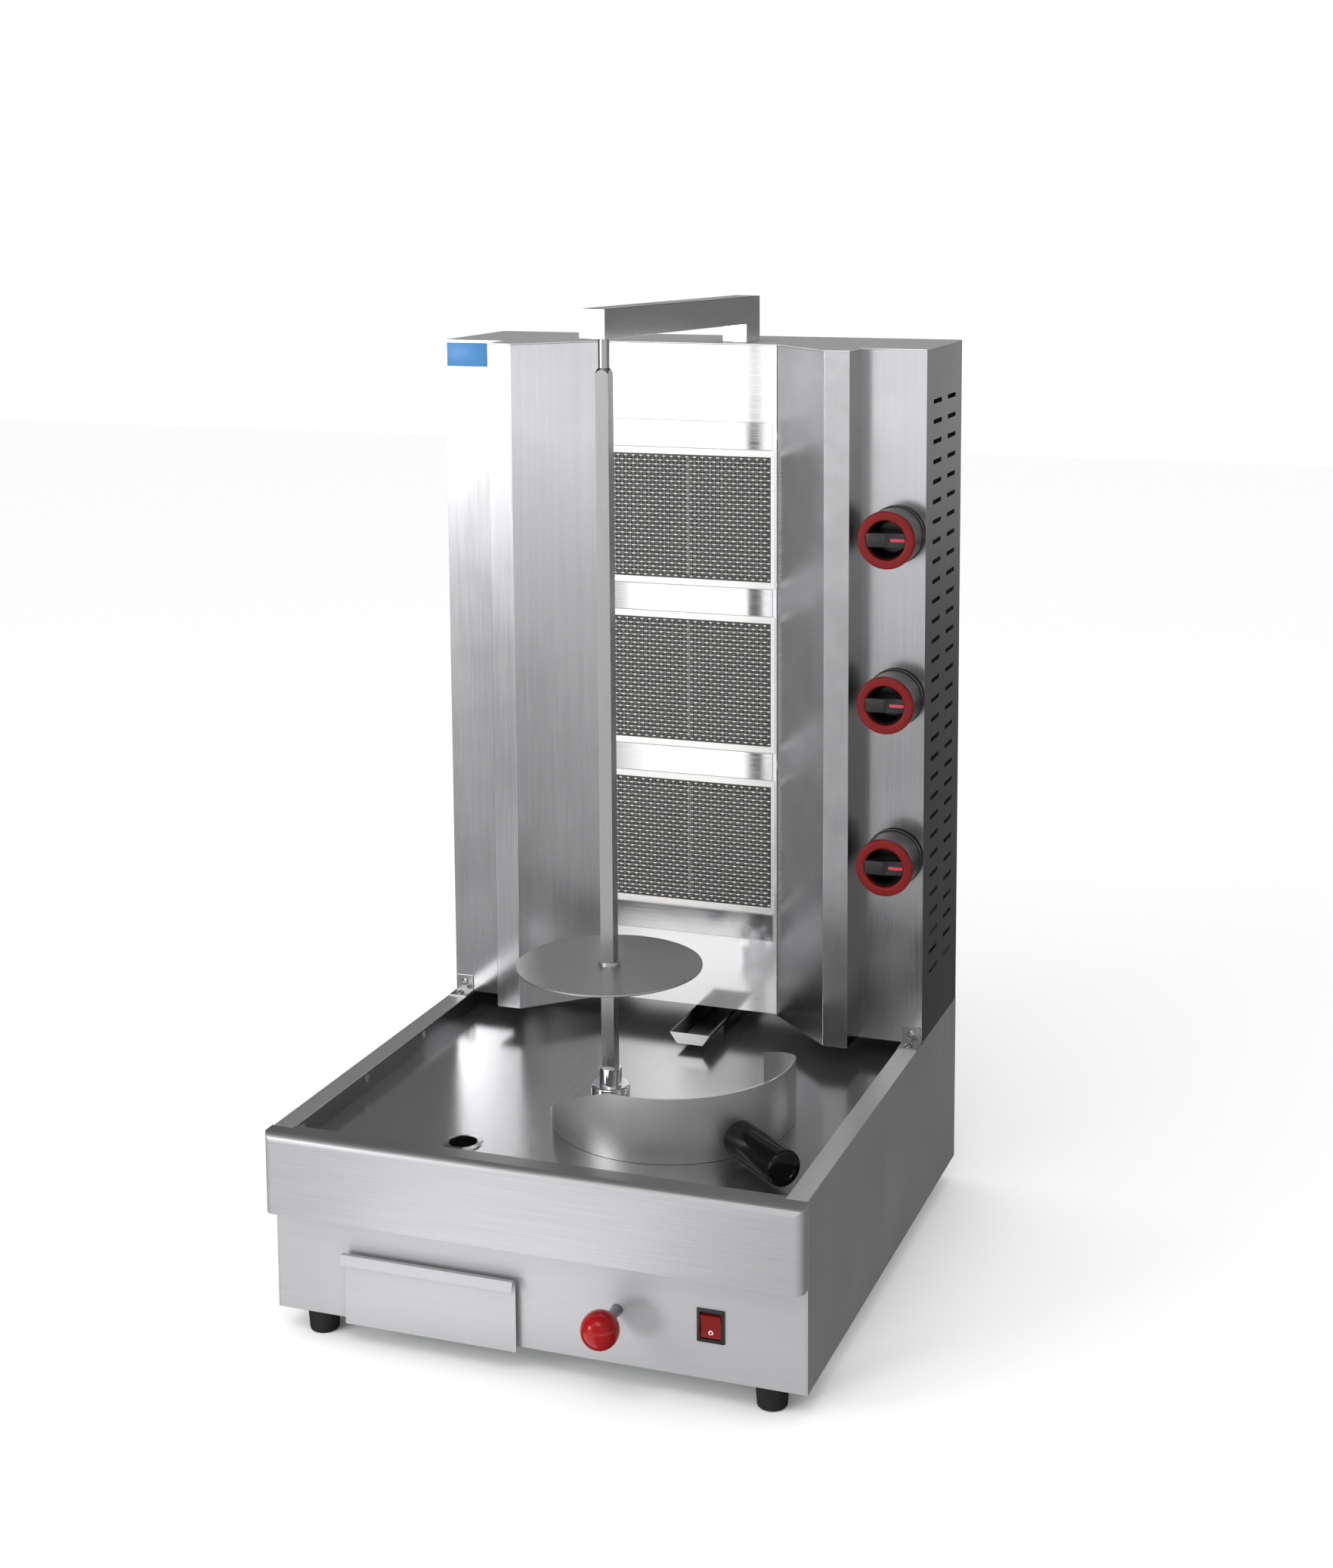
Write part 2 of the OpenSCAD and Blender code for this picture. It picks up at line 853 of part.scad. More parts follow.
module spindle() {
    top = tray_z + 0.5 + collar_low_h + collar_up_h;
    color("gainsboro")
        translate([0, spit_y, 0])
            difference() {
                union() {
                    translate([0, 0, gear_z - 2])
                        cylinder(h = tray_z + 0.5 - gear_z + 2, r = shaft_r, $fn = fine);
                    translate([0, 0, tray_z + 0.5])
                        cylinder(h = collar_low_h - 1.5, r = collar_low_r, $fn = fine);
                    translate([0, 0, tray_z + collar_low_h - 1])
                        cylinder(h = 1.5, r1 = collar_low_r, r2 = collar_low_r - 1.5, $fn = fine);
                    translate([0, 0, tray_z + 0.5 + collar_low_h])
                        cylinder(h = collar_up_h, r = collar_up_r, $fn = fine);
                }
                translate([-spit_side / 2 - 0.1, -spit_side / 2 - 0.1, top - socket_deep])
                    cube([spit_side + 0.2, spit_side + 0.2, socket_deep + over]);
            }
}

module drive_gear() {
    color("dimgray")
        translate([0, spit_y, gear_z])
            difference() {
                linear_extrude(gear_h) rotate(90) polygon(gear_outline(gear_teeth, 0.25));
                translate([0, 0, -over]) cylinder(h = gear_h + 2 * over, r = shaft_r, $fn = fine);
                for (a = [45:90:315]) rotate(a) translate([34, 0, -over])
                    cylinder(h = gear_h + 2 * over, r = 14, $fn = fine);
            }
}

housing_low = gear_z + gear_h + 4;
bearing_h = 9;
bearing_r = 16;

module bearing_housing() {
    top = tray_z - sheet;
    color("gray")
        translate([0, spit_y, 0])
            difference() {
                union() {
                    translate([0, 0, housing_low]) cylinder(h = top - housing_low, r = 20, $fn = fine);
                    translate([0, 0, top - 4]) cylinder(h = 4, r = 34, $fn = fine);
                }
                translate([0, 0, housing_low - over]) cylinder(h = 100, r = shaft_r + 2, $fn = fine);
                translate([0, 0, housing_low - over])
                    cylinder(h = bearing_h + over, r = bearing_r, $fn = fine);
                translate([0, 0, top - bearing_h])
                    cylinder(h = bearing_h + over, r = bearing_r, $fn = fine);
            }
}

module spindle_bearings() {
    color("gainsboro")
        for (z = [housing_low, tray_z - sheet - bearing_h])
            translate([0, spit_y, z])
                difference() {
                    cylinder(h = bearing_h, r = bearing_r, $fn = fine);
                    translate([0, 0, -over])
                        cylinder(h = bearing_h + 2 * over, r = shaft_r + run, $fn = fine);
                }
}

// ---------- Spit ----------

module spit_rod() {
    foot = tray_z + 0.5 + collar_low_h + collar_up_h - socket_deep + gap;
    color("gainsboro")
        translate([0, spit_y, 0]) {
            translate([-spit_side / 2, -spit_side / 2, foot])
                cube([spit_side, spit_side, spit_top - foot - 6]);
            intersection() {
                translate([-spit_side / 2, -spit_side / 2, spit_top - 6])
                    cube([spit_side, spit_side, 6]);
                translate([0, 0, spit_top - 6])
                    cylinder(h = 6, r1 = spit_side * 0.75, r2 = pin_r, $fn = fine);
            }
            translate([0, 0, spit_top - over]) cylinder(h = arm_z + 12 - spit_top + over, r = pin_r, $fn = fine);
        }
}

module meat_disc() {
    color("silver")
        translate([0, spit_y, disc_z])
            difference() {
                union() {
                    cylinder(h = 2, r = disc_d / 2, $fn = fine);
                    translate([0, 0, -8]) cylinder(h = 8, r = 14, $fn = fine);
                    translate([0, 0, 2]) cylinder(h = 4, r = 11, $fn = fine);
                }
                translate([-spit_side / 2, -spit_side / 2, -10]) cube([spit_side, spit_side, 20]);
            }
}

// ---------- Top arm ----------

module top_arm() {
    inside = arm_side - 2 * arm_wall;
    length = arm_reach + arm_nose + arm_side / 2;
    color("silver")
        translate([post_x, post_y, 0]) rotate(arm_yaw)
            difference() {
                union() {
                    translate([-arm_side / 2, -arm_reach - arm_nose, arm_z])
                        cube([arm_side, length, arm_side]);
                    translate([-arm_side / 2, -arm_side / 2, top_z + gap])
                        cube([arm_side, arm_side, arm_z - top_z - gap + over]);
                    translate([0, 0, top_z - post_deep]) cylinder(h = post_deep + over, r = post_r, $fn = fine);
                }
                translate([-inside / 2, -arm_reach - arm_nose + arm_wall, arm_z + arm_wall])
                    cube([inside, length - 2 * arm_wall, inside]);
                // Open-sided slot that lets the arm swing off the spit pin
                translate([-arm_side, -arm_reach - pin_r - 0.6, arm_z - over])
                    cube([arm_side, 2 * pin_r + 1.2, 18]);
                translate([0, -arm_reach, arm_z - over])
                    cylinder(h = 18, r = pin_r + 0.6, $fn = fine);
            }
}

module arm_socket() {
    low = top_z - sheet - 50;
    color("gray")
        translate([post_x, post_y, 0])
            difference() {
                union() {
                    translate([0, 0, low]) cylinder(h = 50, r = post_r + 5, $fn = fine);
                    translate([-22, -22, top_z - sheet - 3]) cube([44, 44, 3]);
                }
                translate([0, 0, low - over]) cylinder(h = 60, r = post_r + run, $fn = fine);
            }
}

// ---------- Scoop ----------

// Cuts the wall down from its full height to the lip at one end
module scoop_end(angle, lip, side) {
    reach = scoop_r * sin(scoop_slope);
    rise = (scoop_h - lip) / reach;
    far = 6;
    rotate(angle) translate([scoop_r / 2, 0, 0]) rotate([90, 0, 90])
        linear_extrude(scoop_r)
            polygon([
                [-side * far, lip - far * rise],
                [side * (reach + far), scoop_h + far * rise],
                [-side * far, scoop_h + far * rise]
            ]);
}

// Round pan, open towards the spit, whose wall slopes down at both ends
module scoop_pan() {
    inner = scoop_r - sheet;
    color("silver")
        translate([scoop_x, scoop_y, tray_z + gap])
            difference() {
                rotate(scoop_from) rotate_extrude(angle = scoop_to - scoop_from, $fn = 96)
                    polygon([
                        [0, 0], [scoop_r, 0], [scoop_r, scoop_h],
                        [inner, scoop_h], [inner, sheet], [0, sheet]
                    ]);
                scoop_end(scoop_from, 14, 1);
                scoop_end(scoop_to, 32, -1);
            }
}

module scoop_handle() {
    z = tray_z + 22.5;
    color([0.05, 0.05, 0.05])
        translate([scoop_x, scoop_y, z]) rotate(handle_angle)
            translate([scoop_r, 0, 0]) rotate([0, 90, 0]) rotate_extrude($fn = fine)
                polygon(concat(
                    [[0, 0], [9, 0], [9, 6], [handle_r - 2, 8]],
                    arc(handle_r - 3, handle_len - 3, 3, 0, 90, 6),
                    [[0, handle_len]]
                ));
}

// ---------- Drawer ----------

module drawer() {
    face_y = front_y - 6;
    low = foot_h - 3;
    color("silver") {
        difference() {
            translate([box_left, face_y + sheet, box_low])
                cube([box_right - box_left, box_deep, box_high - box_low]);
            translate([box_left + sheet, face_y + sheet - over, box_low + sheet])
                cube([box_right - box_left - 2 * sheet, box_deep + over - sheet, box_high]);
        }
        translate([drawer_left, 0, 0]) along_x()
            linear_extrude(drawer_right - drawer_left)
                polygon(sheet_outline([
                    [face_y, low], [face_y, foot_h + 63.5], [face_y - 2.5, foot_h + 66],
                    [face_y - 5.5, foot_h + 66], [face_y - 7, foot_h + 57]
                ], -sheet));
    }
}

// ---------- Trim and fittings ----------

module corner_brackets() {
    color("silver")
        both_sides()
            difference() {
                translate([bracket_x - bracket_w / 2, 0, 0]) along_x()
                    linear_extrude(bracket_w)
                        polygon(sheet_outline([
                            [wing_y, rim_z + bracket_up], [wing_y, rim_z], [wing_y - bracket_foot, rim_z]
                        ], -sheet));
                translate([bracket_x, wing_y, bracket_screw_z]) along_y()
                    cylinder(h = 10, r = hole_r, center = true, $fn = 24);
                translate([bracket_x, bracket_foot_y, rim_z])
                    cylinder(h = 10, r = hole_r, center = true, $fn = 24);
            }
}

module screw(length) {
    translate([0, 0, -length]) cylinder(h = length, r = screw_r, $fn = 24);
    difference() {
        union() {
            cylinder(h = 1, r = head_r, $fn = 32);
            translate([0, 0, 1]) cylinder(h = 1.4, r1 = head_r, r2 = head_r * 0.5, $fn = 32);
        }
        translate([-head_r, -0.5, 1.4]) cube([2 * head_r, 1, 2]);
        translate([-0.5, -head_r, 1.4]) cube([1, 2 * head_r, 2]);
    }
}

module screws() {
    color("gainsboro")
        both_sides() {
            translate([bracket_x, wing_y - sheet, bracket_screw_z]) rotate([90, 0, 0]) screw(6);
            translate([bracket_x, bracket_foot_y, rim_z + sheet]) screw(6);
            tray_screw_places() screw(6);
        }
}

module label_plate() {
    color("steelblue")
        translate([-half_w + 2, wing_y - 0.8, top_z - 28]) cube([46, 0.8, 25]);
}

gutter_x = 25;
gutter_w = 44;
gutter_h = 18.5;
gutter_low = 7;
gutter_taper = 8;
gutter_wall = 1.5;
gutter_front = wall_y - 68;

function gutter_section(wall) = [
    [-gutter_w / 2 + wall, gutter_h + (wall > 0 ? over : 0)],
    [-gutter_w / 2 + gutter_taper + wall, gutter_low + wall],
    [gutter_w / 2 - gutter_taper - wall, gutter_low + wall],
    [gutter_w / 2 - wall, gutter_h + (wall > 0 ? over : 0)]
];

// Open trough from under the burner wall, closed in front, on a foot at the back
module rear_gutter() {
    back = tray_rear_y - 1;
    length = back - gutter_front;
    foot_y = wall_y + 10;
    color("gray")
        translate([gutter_x, 0, tray_z])
            difference() {
                union() {
                    translate([0, back, 0]) rotate([90, 0, 0])
                        linear_extrude(length) polygon(gutter_section(0));
                    translate([-10, foot_y, 0]) cube([20, back - foot_y, gutter_low + 1]);
                }
                translate([0, back + over, 0]) rotate([90, 0, 0])
                    linear_extrude(length + over - gutter_wall) polygon(gutter_section(gutter_wall));
            }
}

module cable_gland() {
    color([0.1, 0.1, 0.1])
        translate([gland_x, rear_y, gland_z]) along_y()
            difference() {
                union() {
                    translate([0, 0, -8]) cylinder(h = 8, r = gland_r, $fn = fine);
                    cylinder(h = 7, r = 12, $fn = 6);
                    translate([0, 0, 7]) cylinder(h = 7, r1 = 10, r2 = 7.5, $fn = fine);
                }
                translate([0, 0, -10]) cylinder(h = 40, r = 4.2, $fn = fine);
            }
}

side_panel_left();
side_panel_right();
front_panel();
base_rear_panel();
base_floor();
drip_tray();
front_apron();
drain_tube();
drawer_runners();
feet();
wing_left();
wing_right();
rear_cover();
top_plate();
reflector_left();
reflector_right();
back_reflector();
reflector_strips();
burner_body_upper();
burner_body_middle();
burner_body_lower();
burner_tiles();
burner_meshes();
gas_manifold();
gas_valves();
injectors();
knob_upper();
knob_middle();
knob_lower();
knob_ring_upper();
knob_ring_middle();
knob_ring_lower();
valve_stem_upper();
valve_stem_middle();
valve_stem_lower();
switch_housing();
switch_rocker();
pull_rod();
ball_knob();
motor_carriage();
gear_motor();
motor_pinion();
carriage_guides();
spindle();
drive_gear();
bearing_housing();
spindle_bearings();
spit_rod();
meat_disc();
top_arm();
arm_socket();
scoop_pan();
scoop_handle();
drawer();
corner_brackets();
screws();
label_plate();
rear_gutter();
cable_gland();
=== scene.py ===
"""Looks of a vertical rotisserie broiler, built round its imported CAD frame.

Metres, +Z up, the front at -Y. Sizes and places come from the frame's own boxes.
"""

import math

import bmesh
import bpy
from mathutils import Matrix, Vector


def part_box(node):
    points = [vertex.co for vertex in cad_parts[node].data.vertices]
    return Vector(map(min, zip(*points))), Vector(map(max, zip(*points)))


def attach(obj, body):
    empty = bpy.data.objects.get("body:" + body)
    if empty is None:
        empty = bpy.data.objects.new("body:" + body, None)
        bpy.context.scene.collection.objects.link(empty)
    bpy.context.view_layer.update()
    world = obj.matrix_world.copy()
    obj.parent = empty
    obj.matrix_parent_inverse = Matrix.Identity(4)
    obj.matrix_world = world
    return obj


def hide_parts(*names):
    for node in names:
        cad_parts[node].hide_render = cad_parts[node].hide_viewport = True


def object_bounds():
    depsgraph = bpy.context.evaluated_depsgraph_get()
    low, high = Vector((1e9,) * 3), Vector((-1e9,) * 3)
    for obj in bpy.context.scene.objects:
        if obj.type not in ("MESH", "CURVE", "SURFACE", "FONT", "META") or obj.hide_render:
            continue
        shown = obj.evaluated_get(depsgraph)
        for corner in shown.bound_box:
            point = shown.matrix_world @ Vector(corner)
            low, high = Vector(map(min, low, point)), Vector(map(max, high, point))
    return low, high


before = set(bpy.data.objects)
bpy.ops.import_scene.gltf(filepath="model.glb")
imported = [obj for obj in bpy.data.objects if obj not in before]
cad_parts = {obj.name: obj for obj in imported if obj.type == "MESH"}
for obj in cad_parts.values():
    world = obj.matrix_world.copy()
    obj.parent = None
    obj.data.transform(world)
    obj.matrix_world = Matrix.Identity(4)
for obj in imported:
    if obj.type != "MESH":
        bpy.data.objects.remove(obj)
cad_low, cad_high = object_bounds()

MM = 0.001
X_AXIS = Vector((1, 0, 0))
Y_AXIS = Vector((0, 1, 0))
Z_AXIS = Vector((0, 0, 1))


# ---------- Places read from the frame ----------

def centre(node):
    """The middle of a CAD node's box."""
    low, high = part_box(node)
    return (low + high) / 2


# ---------- Studio ----------

def make_camera():
    """A long-ish lens to the right of the front, a little above the top plate."""
    azimuth = math.radians(19.17)
    tilt = math.radians(7.49)
    roll = math.radians(-0.18)
    away = Vector((0.8247, -1.8496, 1.0476))
    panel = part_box("front_panel")[0]
    back = Vector((
        math.sin(azimuth) * math.cos(tilt),
        -math.cos(azimuth) * math.cos(tilt),
        math.sin(tilt),
    ))
    right = Vector((math.cos(azimuth), math.sin(azimuth), 0))
    up = back.cross(right)
    turned = Matrix.Rotation(roll, 3, back)
    right, up = turned @ right, turned @ up
    data = bpy.data.cameras.new("camera")
    data.lens = 54.16
    data.sensor_width = 36
    data.shift_x = -0.034
    data.shift_y = -0.186
    camera = bpy.data.objects.new("camera", data)
    place = Vector((away.x, panel.y + away.y, panel.z + away.z))
    axes = Matrix((right, up, back)).transposed().to_4x4()
    camera.matrix_world = Matrix.Translation(place) @ axes
    bpy.context.scene.collection.objects.link(camera)
    bpy.context.scene.camera = camera


def ramp(nodes, stops):
    """A colour ramp of greys: each stop is (place, brightness)."""
    node = nodes.new("ShaderNodeValToRGB")
    elements = node.color_ramp.elements
    while len(elements) < len(stops):
        elements.new(0.5)
    for element, (place, grey) in zip(elements, stops):
        element.position = place
        element.color = (grey, grey, grey, 1)
    return node


def make_world():
    """White to the eye; to the steel, bright ahead, grey below and darker behind."""
    world = bpy.data.worlds.new("studio")
    bpy.context.scene.world = world
    world.use_nodes = True
    nodes, links = world.node_tree.nodes, world.node_tree.links
    background = nodes["Background"]
    coords = nodes.new("ShaderNodeTexCoord")
    split = nodes.new("ShaderNodeSeparateXYZ")
    links.new(coords.outputs["Generated"], split.inputs[0])
    rise = ramp(nodes, [
        (0.0, 0.50), (0.12, 0.46), (0.18, 0.40), (0.23, 0.42), (0.29, 0.44), (0.33, 0.62),
        (0.37, 1.15), (0.42, 1.45), (0.50, 1.40), (0.70, 0.45), (1.0, 0.55),
    ])
    links.new(spread(nodes, links, split.outputs["Z"], 0, 1, -0.5, 0.5), rise.inputs[0])
    facing = nodes.new("ShaderNodeVectorMath")
    facing.operation = "DOT_PRODUCT"
    facing.inputs[1].default_value = (0.25, -0.97, 0.0)
    links.new(coords.outputs["Generated"], facing.inputs[0])
    side = ramp(nodes, [
        (0.0, 0.34), (0.05, 0.26), (0.09, 0.11), (0.35, 0.12), (0.52, 0.34), (0.79, 0.85),
        (0.92, 1.0), (1.0, 1.0),
    ])
    links.new(spread(nodes, links, facing.outputs["Value"], 0, 1, -1.0, 1.0), side.inputs[0])
    mixed = nodes.new("ShaderNodeMix")
    mixed.data_type = "RGBA"
    mixed.blend_type = "MULTIPLY"
    mixed.inputs["Factor"].default_value = 1.0
    links.new(rise.outputs["Color"], mixed.inputs["A"])
    links.new(side.outputs["Color"], mixed.inputs["B"])
    path = nodes.new("ShaderNodeLightPath")
    seen = nodes.new("ShaderNodeMix")
    seen.data_type = "RGBA"
    seen.inputs["A"].default_value = (1, 1, 1, 1)
    links.new(path.outputs["Is Glossy Ray"], seen.inputs["Factor"])
    links.new(mixed.outputs["Result"], seen.inputs["B"])
    links.new(seen.outputs["Result"], background.inputs["Color"])


def add_area(name, place, aim, width, height, power):
    """A rectangular lamp that faces the aim."""
    data = bpy.data.lights.new(name, "AREA")
    data.shape = "RECTANGLE"
    data.size = width
    data.size_y = height
    data.energy = power
    lamp = bpy.data.objects.new(name, data)
    direction = Vector(aim) - Vector(place)
    turn = direction.to_track_quat("-Z", "Y").to_matrix().to_4x4()
    lamp.matrix_world = Matrix.Translation(place) @ turn
    bpy.context.scene.collection.objects.link(lamp)
    return lamp


def make_lights():
    """The low lamp throws the ball knob's shadow, and the steel doesn't mirror it."""
    middle = (cad_low + cad_high) / 2
    add_area("key_softbox", (-1.5, -1.7, 0.9), middle, 0.7, 0.7, 14)
    low = add_area("low_softbox", (-0.9, -1.9, 0.20), middle, 0.4, 0.4, 32)
    low.visible_glossy = False
    add_area("top_softbox", (0.0, -1.6, 2.2), middle, 1.4, 0.8, 10)


def add_card(name, corners, strength):
    """A glowing card that only the steel sees, as a studio's white board."""
    bm = bmesh.new()
    bm.faces.new([bm.verts.new(corner) for corner in corners])
    mesh = bpy.data.meshes.new(name)
    bm.to_mesh(mesh)
    bm.free()
    material = bpy.data.materials.new(name)
    material.use_nodes = True
    nodes = material.node_tree.nodes
    nodes.remove(nodes["Principled BSDF"])
    glow = nodes.new("ShaderNodeEmission")
    glow.inputs["Strength"].default_value = strength
    material.node_tree.links.new(
        glow.outputs["Emission"], nodes["Material Output"].inputs["Surface"]
    )
    mesh.materials.append(material)
    card = bpy.data.objects.new(name, mesh)
    bpy.context.scene.collection.objects.link(card)
    card.visible_camera = False
    card.visible_diffuse = False
    card.visible_shadow = False
    card.visible_transmission = False


def make_cards():
    """One board mirrored by the burner wall, one low board mirrored by the front panel."""
    wall_low, wall_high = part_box("back_reflector")
    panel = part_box("front_panel")
    board_y = wall_low.y - 1.07
    slide = -0.372
    left, right = wall_low.x + slide - 0.02, wall_high.x + slide + 0.02
    bottom, top = -0.12, 0.86
    add_card("wall_board", [
        (left, board_y, bottom), (right, board_y, bottom),
        (right, board_y, top), (left, board_y, top),
    ], 1.25)
    near, far = panel[0].y - 0.06, panel[0].y - 0.50
    lift = 2 * MM
    add_card("floor_board", [
        (-0.24, near, lift), (0.08, near, lift), (0.00, far, lift), (-0.36, far, lift),
    ], 1.55)


def make_floor():
    """A pale ground that takes shadows and isn't mirrored in the steel."""
    bpy.ops.mesh.primitive_plane_add(size=14, location=(0, 0, cad_low.z))
    floor = bpy.context.object
    floor.name = "floor"
    material = bpy.data.materials.new("pale_floor")
    material.use_nodes = True
    shader = material.node_tree.nodes["Principled BSDF"]
    shader.inputs["Base Color"].default_value = (0.97, 0.97, 0.97, 1)
    shader.inputs["Roughness"].default_value = 0.9
    shader.inputs["Specular IOR Level"].default_value = 0.0
    floor.data.materials.append(material)
    floor.visible_glossy = False


# ---------- Materials ----------

def new_material(name):
    """An empty node material, with its nodes, its links and its main shader."""
    material = bpy.data.materials.new(name)
    material.use_nodes = True
    tree = material.node_tree
    return material, tree.nodes, tree.links, tree.nodes["Principled BSDF"]


def grain(nodes, links, scale, detail=3.0):
    """A noise with its own scale along each axis of the object."""
    coords = nodes.new("ShaderNodeTexCoord")
    mapping = nodes.new("ShaderNodeMapping")
    mapping.inputs["Scale"].default_value = scale
    links.new(coords.outputs["Object"], mapping.inputs["Vector"])
    noise = nodes.new("ShaderNodeTexNoise")
    noise.inputs["Scale"].default_value = 1.0
    noise.inputs["Detail"].default_value = detail
    links.new(mapping.outputs["Vector"], noise.inputs["Vector"])
    return noise.outputs["Fac"]


def spread(nodes, links, value, low, high, low_in=0.3, high_in=0.7):
    """Rescales a value; noise lies mostly between the default limits."""
    node = nodes.new("ShaderNodeMapRange")
    node.inputs["From Min"].default_value = low_in
    node.inputs["From Max"].default_value = high_in
    node.inputs["To Min"].default_value = low
    node.inputs["To Max"].default_value = high
    links.new(value, node.inputs["Value"])
    return node.outputs["Result"]


def add_values(nodes, links, first, second):
    """The sum of two values."""
    node = nodes.new("ShaderNodeMath")
    node.operation = "ADD"
    links.new(first, node.inputs[0])
    links.new(second, node.inputs[1])
    return node.outputs[0]


def tint_by(nodes, links, value, dark, light):
    """A colour that runs from dark to light as the value goes from 0 to 1."""
    node = nodes.new("ShaderNodeMix")
    node.data_type = "RGBA"
    node.inputs["A"].default_value = (*dark, 1)
    node.inputs["B"].default_value = (*light, 1)
    links.new(value, node.inputs["Factor"])
    return node.outputs["Result"]


def bump(nodes, links, shader, value, strength, distance):
    """Relief that follows a value, at most the distance deep."""
    node = nodes.new("ShaderNodeBump")
    node.inputs["Strength"].default_value = strength
    node.inputs["Distance"].default_value = distance
    links.new(value, node.inputs["Height"])
    links.new(node.outputs["Normal"], shader.inputs["Normal"])


def shade(colour, factor):
    """The colour made darker or lighter, never past white."""
    return tuple(min(1.0, channel * factor) for channel in colour)


def make_steel(name, colour, rough, lines, contrast=0.05, metallic=1.0, smudge=0.04, relief=0.05):
    """Brushed sheet: hairlines along one axis, cloudy polish marks over them."""
    material, nodes, links, shader = new_material(name)
    hair = grain(nodes, links, lines, 4.0)
    broad = grain(nodes, links, [v * 0.09 for v in lines], 2.0)
    cloud = grain(nodes, links, (9, 9, 9), 3.0)
    tone = add_values(
        nodes, links,
        spread(nodes, links, hair, 0.0, 0.5),
        spread(nodes, links, broad, 0.0, 0.5),
    )
    links.new(
        tint_by(nodes, links, tone, shade(colour, 1 - contrast), shade(colour, 1 + contrast)),
        shader.inputs["Base Color"],
    )
    gloss = add_values(
        nodes, links,
        spread(nodes, links, hair, rough - 0.03, rough + 0.03),
        spread(nodes, links, cloud, -smudge, smudge),
    )
    links.new(gloss, shader.inputs["Roughness"])
    shader.inputs["Metallic"].default_value = metallic
    bump(nodes, links, shader, hair, relief, 0.0002)
    return material


def facing_share(nodes, links, direction):
    """How far the surface faces a direction, from 0 to 1."""
    geometry = nodes.new("ShaderNodeNewGeometry")
    dot = nodes.new("ShaderNodeVectorMath")
    dot.operation = "DOT_PRODUCT"
    dot.inputs[1].default_value = direction
    links.new(geometry.outputs["Normal"], dot.inputs[0])
    return spread(nodes, links, dot.outputs["Value"], 0, 1, 0.5, 0.8)


def make_steel_with_painted_facing(
    name, other_colour, painted_facing_colour, direction, rough, smooth, lines, metallic=1.0, stain=(30, 30, 30)
):
    """Brushed sheet whose faces in one direction take a colour of their own, painted light or
    shade that follows the direction faced, and a roughness of their own.
    """
    material, nodes, links, shader = new_material(name)
    hair = grain(nodes, links, lines, 4.0)
    cloud = grain(nodes, links, stain, 3.0)
    other_tone = tint_by(
        nodes, links, spread(nodes, links, cloud, 0, 1), shade(other_colour, 0.93), shade(other_colour, 1.07)
    )
    painted_facing_tone = tint_by(
        nodes, links, spread(nodes, links, hair, 0, 1),
        shade(painted_facing_colour, 0.97), shade(painted_facing_colour, 1.03),
    )
    # share: how far each face looks the given way; those faces take the painted light or shade
    # colour.
    share = facing_share(nodes, links, direction)
    choose = nodes.new("ShaderNodeMix")
    choose.data_type = "RGBA"
    links.new(share, choose.inputs["Factor"])
    links.new(other_tone, choose.inputs["A"])
    links.new(painted_facing_tone, choose.inputs["B"])
    links.new(choose.outputs["Result"], shader.inputs["Base Color"])
    gloss = add_values(
        nodes, links,
        spread(nodes, links, share, rough, smooth, 0.0, 1.0),
        spread(nodes, links, hair, -0.02, 0.02),
    )
    links.new(gloss, shader.inputs["Roughness"])
    shader.inputs["Metallic"].default_value = metallic
    bump(nodes, links, shader, hair, 0.01, 0.0002)
    return material


def make_crest_wire(name):
    """Wire painted light at its crests, nearest the front, as a painted highlight, and dark where
    it dips back behind the uprights, as painted shade, with an uneven random tone over both.
    """
    material, nodes, links, shader = new_material(name)
    coords = nodes.new("ShaderNodeTexCoord")
    split = nodes.new("ShaderNodeSeparateXYZ")
    links.new(coords.outputs["Object"], split.inputs[0])
    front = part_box("burner_meshes")[0].y
    # crest: lighter at the front crests, a painted highlight, and darker where the wire dips
    # back, a painted shade.
    crest = spread(nodes, links, split.outputs["Y"], 1, 0, front - 1.5 * MM, front - 0.1 * MM)
    stain = spread(nodes, links, grain(nodes, links, (300, 300, 300), 3.0), -0.12, 0.12)
    links.new(
        tint_by(
            nodes, links, add_values(nodes, links, crest, stain),
            (0.27, 0.268, 0.265), (0.78, 0.78, 0.77),
        ),
        shader.inputs["Base Color"],
    )
    shader.inputs["Metallic"].default_value = 0.8
    shader.inputs["Roughness"].default_value = 0.38
    bump(nodes, links, shader, stain, 0.03, 0.0001)
    return material


def make_plastic(name, colour, rough, sheen=0.3, fleck=0.06, grain_size=900):
    """Moulded plastic: a fine pebble, with faint uneven colour and gloss."""
    material, nodes, links, shader = new_material(name)
    pebble = grain(nodes, links, (grain_size,) * 3, 2.0)
    cloud = grain(nodes, links, (60, 60, 60), 3.0)
    links.new(
        tint_by(
            nodes, links, spread(nodes, links, cloud, 0, 1),
            shade(colour, 1 - fleck), shade(colour, 1 + fleck),
        ),
        shader.inputs["Base Color"],
    )
    links.new(spread(nodes, links, cloud, rough - 0.05, rough + 0.05), shader.inputs["Roughness"])
    shader.inputs["Specular IOR Level"].default_value = sheen
    bump(nodes, links, shader, pebble, 0.08, 0.0002)
    return material


